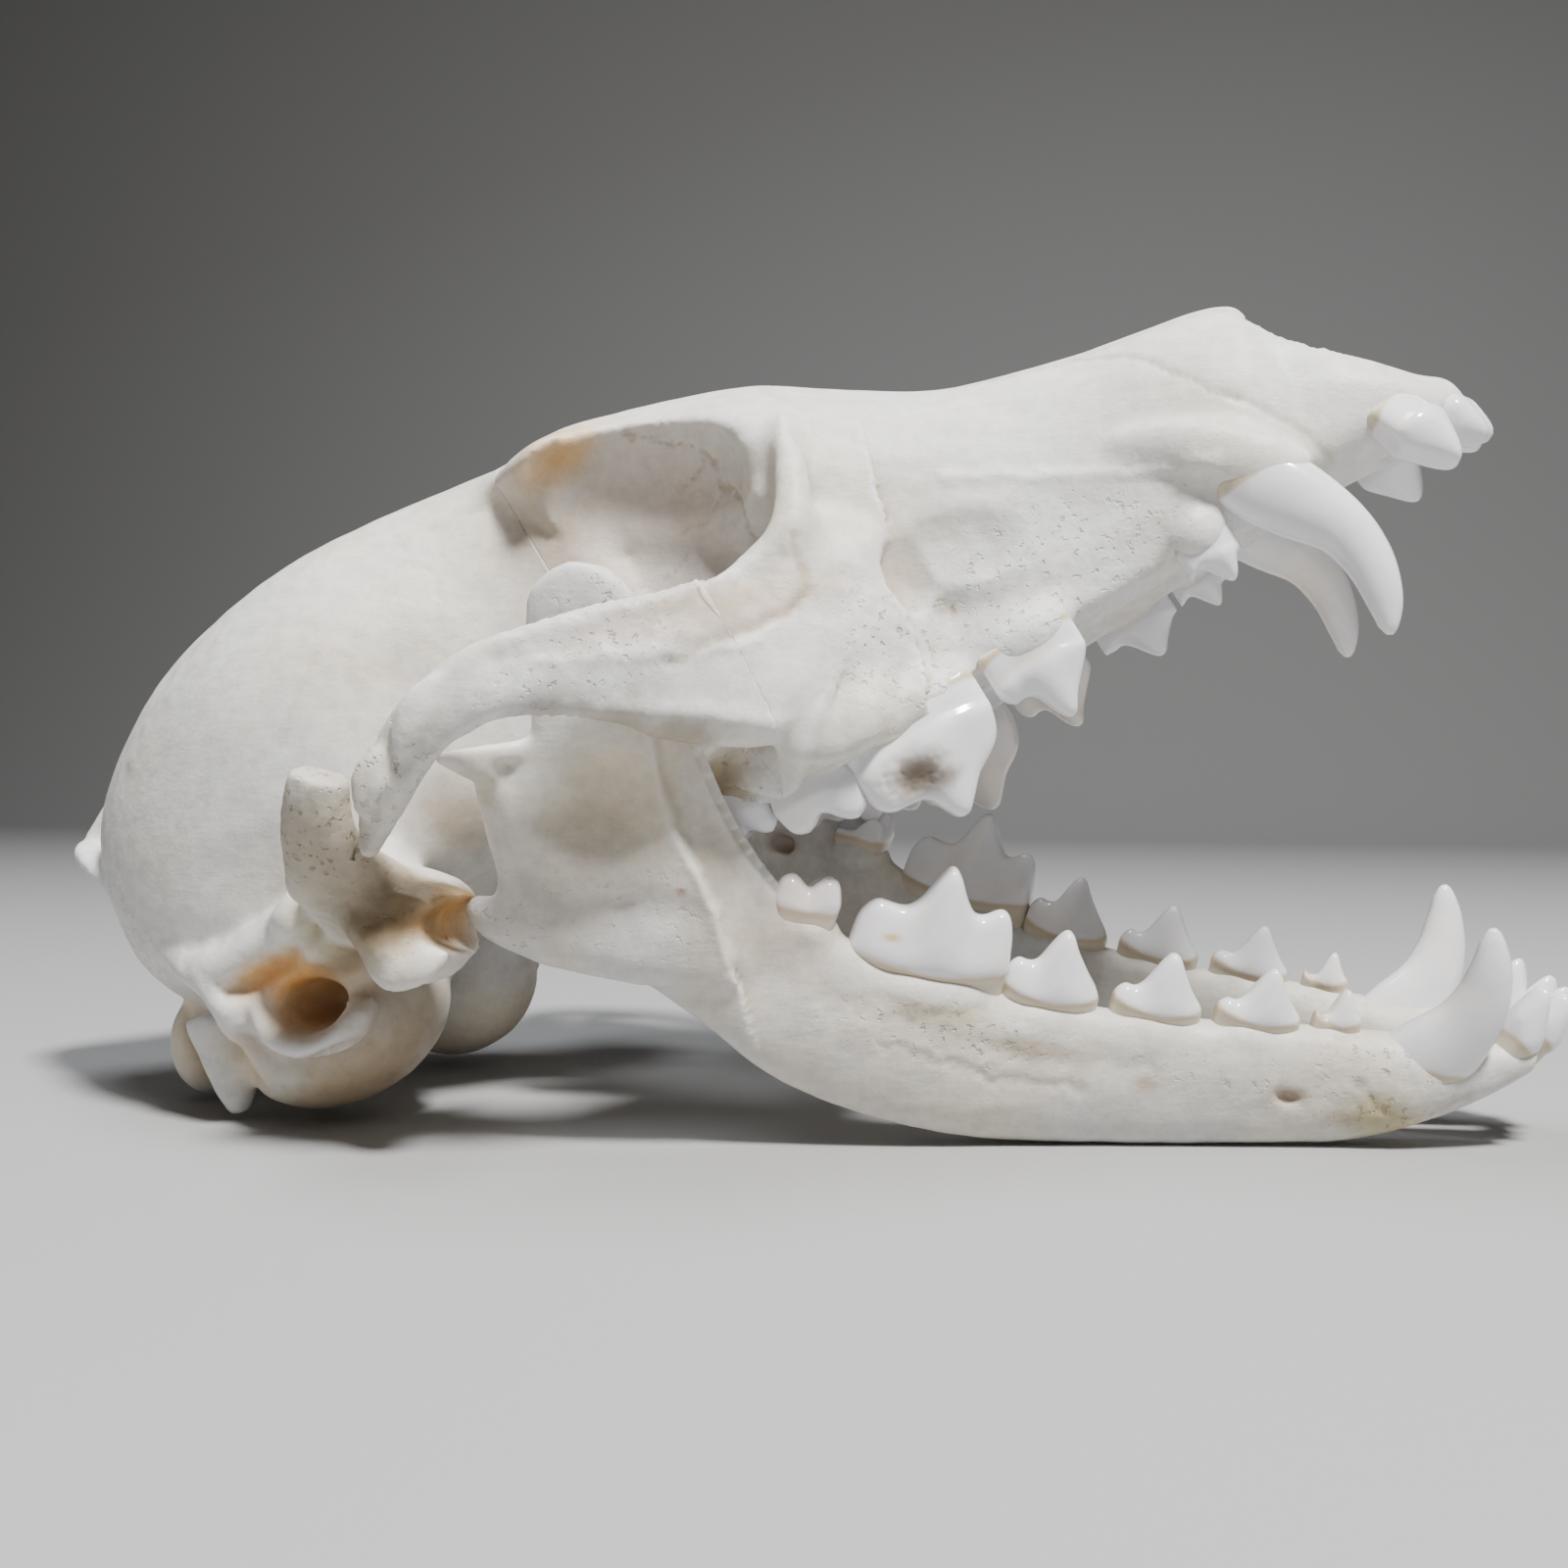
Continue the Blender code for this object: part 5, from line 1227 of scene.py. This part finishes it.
def mill_tooth(name, length, width, cusps, taper, cells=14):
    """A broad molar in a frame of its own: a crown with round cusps, narrower on its inner side."""
    bm = bmesh.new()
    bmesh.ops.create_grid(bm, x_segments=cells, y_segments=cells, size=0.5)
    for vert in bm.verts:
        u, v = vert.co.x, vert.co.y
        narrow = 1 - (1 - taper) * (0.5 - v)
        corner = 1 - 0.144 * (4 * u * v) ** 2
        x = u * length * narrow * corner
        y = v * width * corner
        height = 1
        for cusp_x, cusp_y, cusp_height, spread in cusps:
            away = math.hypot(x - cusp_x * length, y - cusp_y * width) / spread
            height = max(height, cusp_height * (1 - 0.7 * min(away, 1) ** 1.7))
        edge = max(abs(u), abs(v)) > 0.49
        vert.co = Vector((x, y, height * 0.5 if edge else height))
    rim = [edge for edge in bm.edges if edge.is_boundary]
    wall = bmesh.ops.extrude_edge_only(bm, edges=rim)["geom"]
    for vert in [item for item in wall if isinstance(item, bmesh.types.BMVert)]:
        vert.co = Vector((vert.co.x * 0.8, vert.co.y * 0.85, -TOOTH_ROOT))
    bmesh.ops.contextual_create(bm, geom=[item for item in wall if isinstance(item, bmesh.types.BMEdge)])
    return shape_object(name, bm)


def enamel(tooth, neck_height):
    """Skin one tooth and mark how near each point is to its neck, where enamel meets root."""
    skin(tooth, TOOTH_GRAIN, TOOTH_SOFTENING)
    points = points_of(tooth.data)
    height = neck_height(points) + waves(points, NECK_WAVES)
    keep_values(tooth, "root", 1 - np.clip((height + 0.1) / 0.5, 0, 1))
    keep_values(tooth, "line", np.exp(-((height - 0.12) / 0.3) ** 2))
    return tooth


def placed(tooth, matrix):
    tooth.data.transform(matrix)
    bm = bmesh.new()
    bm.from_mesh(tooth.data)
    bmesh.ops.recalc_face_normals(bm, faces=bm.faces)
    bm.to_mesh(tooth.data)
    bm.free()
    return tooth


def tooth_row(blades, mills, fang_rows, side, jaw, missing=(), forward=0):
    """All the teeth of one side of one jaw, joined in one object."""
    teeth = []
    mirror = to_side(side)
    flip = Matrix.Diagonal((1, 1, jaw, 1))
    reach = ENAMEL_REACH[jaw]
    for key, (x, y, z, heading, lean, length, width, outline) in blades.items():
        if key in missing:
            continue
        tooth = enamel(blade_tooth(key, length, width, outline),
                       lambda points: points[:, 2] + reach - NECK_RISE * (2 * points[:, 0] / length) ** 2)
        turn = Matrix.Rotation(math.radians(heading), 4, "Z")
        tip = Matrix.Rotation(math.radians(-lean * jaw), 4, "X")
        place = Matrix.Translation(Vector((x + forward, y, z)))
        teeth.append(placed(tooth, mirror @ place @ turn @ tip @ flip))
    for key, (x, y, z, heading, length, width, cusps) in mills.items():
        tooth = enamel(mill_tooth(key, length, width, cusps, MILL_TAPER[jaw]),
                       lambda points: points[:, 2] + reach)
        turn = Matrix.Rotation(math.radians(heading), 4, "Z")
        teeth.append(placed(tooth, mirror @ Matrix.Translation(Vector((x, y, z))) @ turn @ flip))
    fang = bar("canine", fang_rows, side, sides=FANG_SIDES, steps=TOOTH_STEPS, power=1)
    teeth.append(enamel(fang, lambda points: (points[:, 2] - FANG_NECK[jaw]) * jaw))
    bm = bmesh.new()
    for tooth in teeth:
        bm.from_mesh(tooth.data)
    discard(teeth)
    return shape_object("teeth", bm)


# A decayed place on a cheek tooth: centre, radii and depth
DECAYED = ((82.2, -20.4, -3.9), (2.4, 2.6, 1.8), 0.7)
UPPER_TOOTH_STAINS = [
    ((82.4, -20.2, -3.8), (2.5, 2.8, 1.9), DECAY, 1),
    ((84.4, -20.2, -5.2), (1.7, 2.6, 1), DECAY, 0.8),
    ((96, -15, 0.2), (3, 2, 0.8), HONEY, 0.5),
    ((123, 12, -6), (3.5, 4, 7), HONEY, 0.5),
    ((84.6, 17, -4), (8, 4, 6), HONEY, 0.6),
    ((97, 13, -4), (5, 4, 4), HONEY, 0.5),
]
LOWER_TOOTH_STAINS = [
    ((44.6, -18.2, 14.8), (0.8, 1.6, 0.4), OCHRE, 1),
    # Painted shade on the right lower second molar
    ((36, -18.2, 17.4), (4.6, 4.6, 3.4), ROSE, 1),
]


def decayed(teeth, centre, radii, depth):
    """Eat a rough, dull hollow into the enamel."""
    points = points_of(teeth.data)
    amount = spot(points, centre, radii, 0.5, 4)
    sunk = amount * (depth * (0.7 + 0.5 * roughness(points, 0.9, 2)) + 0.25 * roughness(points, 2.2, 6))
    move_points(teeth.data, points - normals_of(teeth.data) * sunk[:, None])
    values = np.empty(len(points), np.float32)
    teeth.data.attributes["root"].data.foreach_get("value", values)
    teeth.data.attributes["root"].data.foreach_set("value", np.maximum(values, amount).astype(np.float32))
    return teeth


# Materials: every pattern reads object coordinates, in metres
COOL_BONE = (0.76, 0.765, 0.77)
WARM_BONE = (0.77, 0.72, 0.63)
COOL_JAW = (0.70, 0.70, 0.70)
WARM_JAW = (0.74, 0.69, 0.60)
PORE_BROWN = (0.40, 0.33, 0.25)
# Painted shade in hollows, and painted light on bulges and edges
PAINTED_HOLLOW_SHADE = (0.42, 0.33, 0.22)
PAINTED_BULGE_LIGHT = (0.86, 0.86, 0.86)
COOL_ENAMEL = (0.80, 0.80, 0.85)
WARM_ENAMEL = (0.88, 0.865, 0.86)
ROOT_TAN = (0.66, 0.59, 0.47)
NECK_OCHRE = (0.52, 0.38, 0.20)


class Finish:
    """Short calls for one material's nodes."""

    def __init__(self, name):
        self.material = bpy.data.materials.new(name)
        self.material.use_nodes = True
        self.tree = self.material.node_tree
        self.shader = self.tree.nodes["Principled BSDF"]
        self.place = self.add("ShaderNodeTexCoord").outputs["Object"]

    def add(self, kind, **values):
        node = self.tree.nodes.new(kind)
        for key, value in values.items():
            setattr(node, key, value)
        return node

    def join(self, output, target):
        self.tree.links.new(output, target)

    def along_skull(self, pitch, stretch):
        """Object places turned with the skull and drawn out along it, for fibres."""
        node = self.add("ShaderNodeMapping")
        node.inputs["Rotation"].default_value = (0.0, math.radians(pitch), 0.0)
        node.inputs["Scale"].default_value = (1.0 / stretch, 1.0, 1.0)
        self.join(self.place, node.inputs["Vector"])
        return node.outputs["Vector"]

    def cloud(self, scale, detail=3.0, rough=0.55, place=None):
        """Soft random values, scale per metre."""
        node = self.add("ShaderNodeTexNoise")
        node.inputs["Scale"].default_value = scale
        node.inputs["Detail"].default_value = detail
        node.inputs["Roughness"].default_value = rough
        self.join(place or self.place, node.inputs["Vector"])
        return node.outputs["Fac"]

    def spread(self, value, low, high, to_low=0.0, to_high=1.0):
        node = self.add("ShaderNodeMapRange")
        for key, number in zip(("From Min", "From Max", "To Min", "To Max"), (low, high, to_low, to_high)):
            node.inputs[key].default_value = number
        self.join(value, node.inputs["Value"])
        return node.outputs["Result"]

    def times(self, a, b):
        node = self.add("ShaderNodeMath", operation="MULTIPLY")
        self.join(a, node.inputs[0])
        if isinstance(b, float):
            node.inputs[1].default_value = b
        else:
            self.join(b, node.inputs[1])
        return node.outputs[0]

    def blend(self, share, a, b, kind="MIX"):
        """Two colours, each a tuple or an output, mixed by a share."""
        node = self.add("ShaderNodeMix", data_type="RGBA", blend_type=kind)
        for value, socket in ((share, node.inputs[0]), (a, node.inputs[6]), (b, node.inputs[7])):
            if isinstance(value, tuple):
                socket.default_value = (*value, 1.0)
            elif isinstance(value, float):
                socket.default_value = value
            else:
                self.join(value, socket)
        return node.outputs[2]

    def layer(self, name, output="Fac"):
        return self.add("ShaderNodeAttribute", attribute_name=name).outputs[output]

    def settle(self, **values):
        """Set the shader's own sockets, named with _ for each space."""
        for key, value in values.items():
            self.shader.inputs[key.replace("_", " ")].default_value = value

    def bump(self, height, distance, strength, under=None):
        node = self.add("ShaderNodeBump")
        node.inputs["Distance"].default_value = distance
        node.inputs["Strength"].default_value = strength
        self.join(height, node.inputs["Height"])
        if under is not None:
            self.join(under, node.inputs["Normal"])
        return node.outputs["Normal"]


def bone_finish(name, pitch, cool, warm):
    """Dry, cleaned bone: chalky white with warm clouds, fine grain, fibres and pits, with painted shade in
    hollows and painted light on bulges.
    """
    f = Finish(name)
    fibres = f.along_skull(pitch, 5.0)
    clouds = f.spread(f.cloud(55.0, 4.0), 0.36, 0.66)
    base = f.blend(clouds, cool, warm)
    flecks = f.spread(f.cloud(700.0, 4.0, 0.65), 0.30, 0.60, 0.86, 1.0)
    streaks = f.spread(f.cloud(500.0, 3.0, 0.5, fibres), 0.34, 0.62, 0.93, 1.0)
    base = f.blend(1.0, base, flecks, "MULTIPLY")
    base = f.blend(1.0, base, streaks, "MULTIPLY")
    pores = f.spread(f.cloud(1250.0, 2.0, 0.6), 0.30, 0.40)
    pitted = f.layer("pitted")
    pore_shade = f.times(f.spread(pores, 0.0, 1.0, 1.0, 0.0), f.times(pitted, 0.55))
    base = f.blend(pore_shade, base, PORE_BROWN)
    hollow = f.layer("hollow")
    # Painted shade: the deeper a point lies in a hollow, the browner it is painted
    base = f.blend(f.spread(hollow, 0.52, 1.0, 0.0, 0.75), base, PAINTED_HOLLOW_SHADE)
    # Painted light: bulges and edges are painted a paler white
    base = f.blend(f.spread(hollow, 0.46, 0.10, 0.0, 0.55), base, PAINTED_BULGE_LIGHT)
    base = f.blend(1.0, base, f.layer("tint", "Color"), "MULTIPLY")
    f.join(base, f.shader.inputs["Base Color"])
    f.join(f.spread(f.cloud(320.0), 0.3, 0.7, 0.40, 0.62), f.shader.inputs["Roughness"])
    grain = f.bump(f.cloud(2400.0, 4.0, 0.65), 0.00014, 0.30)
    lines = f.bump(f.cloud(420.0, 5.0, 0.6, fibres), 0.0004, 0.30, grain)
    dents = f.bump(f.cloud(260.0, 3.0), 0.0006, 0.16, lines)
    holes = f.bump(f.times(pores, pitted), 0.0003, 0.8, dents)
    f.join(holes, f.shader.inputs["Normal"])
    f.settle(Specular_IOR_Level=0.40, Subsurface_Weight=0.10, Subsurface_Radius=(0.0012, 0.0008, 0.0005),
             Subsurface_Scale=1.0)
    return f.material


def enamel_finish(name):
    """Glossy enamel, faintly lilac, over a tan root with an ochre line where they meet."""
    f = Finish(name)
    clouds = f.spread(f.cloud(240.0, 3.0), 0.35, 0.65)
    base = f.blend(clouds, COOL_ENAMEL, WARM_ENAMEL)
    root = f.layer("root")
    base = f.blend(root, base, ROOT_TAN)
    base = f.blend(f.times(f.layer("line"), 0.7), base, NECK_OCHRE)
    base = f.blend(1.0, base, f.layer("tint", "Color"), "MULTIPLY")
    f.join(base, f.shader.inputs["Base Color"])
    f.join(f.spread(root, 0.0, 1.0, 0.14, 0.5), f.shader.inputs["Roughness"])
    f.join(f.bump(f.cloud(1100.0, 3.0), 0.0001, 0.16), f.shader.inputs["Normal"])
    f.settle(Subsurface_Weight=0.16, Subsurface_Radius=(0.0010, 0.0009, 0.0009), Subsurface_Scale=1.0,
             Coat_Weight=0.4, Coat_Roughness=0.05)
    return f.material


# The room, in metres
SHEET_HALF_WIDTH = 1.6
SHEET_FRONT = -0.9
SHEET_BACK = 0.7
SHEET_BEND = 0.35
BEND_STEPS = 16
SHEET_TOP = 1.8
SHEET_COLOUR = (0.36, 0.36, 0.365, 1.0)
# Soft lamps: place, what each aims at, size, power and colour
LAMPS = {
    "key": ((0.22, -0.25, 0.60), (0.0, 0.0, 0.04), 0.12, 10.6, (1.0, 0.985, 0.955)),
    "top": ((-0.12, 0.02, 0.66), (0.0, 0.0, 0.04), 0.3, 3.0, (0.95, 0.975, 1.0)),
    "fill": ((-0.60, -0.45, 0.22), (0.0, 0.0, 0.03), 0.5, 0.25, (1.0, 0.94, 0.86)),
}
WORLD_COLOUR = (0.88, 0.84, 0.78, 1.0)
WORLD_STRENGTH = 0.04


def floor_and_backdrop():
    """A pale sheet that runs level under the skull and curves up behind it."""
    bm = bmesh.new()
    bmesh.ops.create_grid(bm, x_segments=1, y_segments=1, size=1.0)
    for vert in bm.verts:
        vert.co = Vector((vert.co.x * SHEET_HALF_WIDTH, SHEET_FRONT if vert.co.y < 0 else SHEET_BACK, 0.0))
    edge = [e for e in bm.edges if all(v.co.y > 0 for v in e.verts)]
    for step in range(1, BEND_STEPS + 1):
        made = bmesh.ops.extrude_edge_only(bm, edges=edge)["geom"]
        edge = [item for item in made if isinstance(item, bmesh.types.BMEdge)
                and all(v in made for v in item.verts)]
        angle = math.pi / 2 * step / BEND_STEPS
        for vert in [item for item in made if isinstance(item, bmesh.types.BMVert)]:
            vert.co.y = SHEET_BACK + SHEET_BEND * math.sin(angle)
            vert.co.z = SHEET_BEND * (1.0 - math.cos(angle))
    made = bmesh.ops.extrude_edge_only(bm, edges=edge)["geom"]
    for vert in [item for item in made if isinstance(item, bmesh.types.BMVert)]:
        vert.co.z = SHEET_TOP
    sheet = shape_object("floor", bm)
    sheet.data.shade_smooth()
    paper = bpy.data.materials.new("pale_paper")
    paper.use_nodes = True
    sockets = paper.node_tree.nodes["Principled BSDF"].inputs
    sockets["Base Color"].default_value = SHEET_COLOUR
    sockets["Roughness"].default_value = 0.9
    sheet.data.materials.append(paper)


def soft_light(name, place, aim, size, power, colour):
    lamp = bpy.data.lights.new(name, "AREA")
    lamp.shape = "DISK"
    lamp.size = size
    lamp.energy = power
    lamp.color = colour
    obj = bpy.data.objects.new(name, lamp)
    obj.location = place
    obj.rotation_euler = (Vector(aim) - Vector(place)).to_track_quat("-Z", "Y").to_euler()
    bpy.context.scene.collection.objects.link(obj)


CAMERA_PLACE = (0.03664, -0.14813, 0.03453)
CAMERA_TURN = (89.76, -0.23, 12.73)
CAMERA_LENS = 33.75
CAMERA_NEAR = 0.002


def camera_and_lights():
    view = bpy.data.cameras.new("camera")
    view.sensor_width = 36.0
    view.lens = CAMERA_LENS
    view.clip_start = CAMERA_NEAR
    camera = bpy.data.objects.new("camera", view)
    camera.location = CAMERA_PLACE
    camera.rotation_euler = [math.radians(a) for a in CAMERA_TURN]
    bpy.context.scene.collection.objects.link(camera)
    bpy.context.scene.camera = camera
    for name, lamp in LAMPS.items():
        soft_light(name, *lamp)
    world = bpy.data.worlds.new("studio")
    world.use_nodes = True
    sky = world.node_tree.nodes["Background"].inputs
    sky["Color"].default_value = WORLD_COLOUR
    sky["Strength"].default_value = WORLD_STRENGTH
    bpy.context.scene.world = world


# The skull
def dressed(obj, name, material, nodes):
    """Name a finished piece, give it its material and let it stand for its solids."""
    obj.name = name
    obj.data.name = name
    obj.data.materials.clear()
    obj.data.materials.append(material)
    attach(obj, "root")
    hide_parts(*nodes)


def build_skull():
    shift = Matrix.Translation(Vector(BASE_SHIFT))
    pitch = Matrix.Rotation(math.radians(-CRANIUM_PITCH), 4, "Y")
    cranium_pose = shift @ Matrix.Translation((0.0, 0.0, CRANIUM_LIFT)) @ pitch
    jaw_pose = shift @ Matrix.Translation(JAW_PLACE) @ turned(JAW_TURN)
    bone = bone_finish("cleaned_bone", CRANIUM_PITCH, COOL_BONE, WARM_BONE)
    jaw_finish = bone_finish("jaw_bone", -JAW_TURN[1], COOL_JAW, WARM_JAW)
    teeth_finish = enamel_finish("enamel")

    whole = blend_joins(skin(cranium_bone(), CRANIUM_GRAIN, CRANIUM_SOFTENING), CRANIUM_JOINS)
    for name, piece in part_cranium(whole).items():
        thin_out(piece, PIECE_TRIANGLES)
        worked_bone(piece, CRANIUM_LINES, CRANIUM_LEDGES, MIDDLE + PAIR, CRANIUM_STAINS, CRANIUM_PITS,
                    CRANIUM_RELIEF)
        dressed(set_down(piece, cranium_pose), "fine_" + name, bone, [name])
    for side, word in ((RIGHT, "right"), (LEFT, "left")):
        missing = MISSING_RIGHT if side == RIGHT else ()
        teeth = tooth_row(UPPER_BLADES, UPPER_MILLS, UPPER_FANG, side, UPPER, missing)
        if side == RIGHT:
            decayed(teeth, *DECAYED)
        keep_tint(teeth, stained(points_of(teeth.data), UPPER_TOOTH_STAINS))
        dressed(set_down(teeth, cranium_pose), "upper_teeth_" + word, teeth_finish, ["snout"])

        half = blend_joins(skin(jaw_bone(side), JAW_GRAIN, JAW_SOFTENING), JAW_JOINS)
        worked_bone(half, JAW_LINES, JAW_LEDGES, (side,), on_side(JAW_STAINS, side), on_side(JAW_PITS, side),
                    on_side(JAW_RELIEF, side))
        thin_out(half, PIECE_TRIANGLES)
        node = "mandible_" + word
        dressed(set_down(half, jaw_pose), "fine_" + node, jaw_finish, [node])
        forward = LEFT_ROW_SHIFT if side == LEFT else 0.0
        teeth = tooth_row(LOWER_BLADES, LOWER_MILLS, LOWER_FANG, side, LOWER, (), forward)
        keep_tint(teeth, stained(points_of(teeth.data), LOWER_TOOTH_STAINS))
        dressed(set_down(teeth, jaw_pose), "lower_teeth_" + word, teeth_finish, [node])


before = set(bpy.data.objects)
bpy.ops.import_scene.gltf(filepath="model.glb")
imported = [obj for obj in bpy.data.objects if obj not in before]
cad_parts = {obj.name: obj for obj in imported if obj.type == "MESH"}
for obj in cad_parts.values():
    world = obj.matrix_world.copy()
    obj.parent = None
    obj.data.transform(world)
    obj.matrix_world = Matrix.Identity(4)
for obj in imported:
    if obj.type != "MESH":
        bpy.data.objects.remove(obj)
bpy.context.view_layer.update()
build_skull()
floor_and_backdrop()
camera_and_lights()
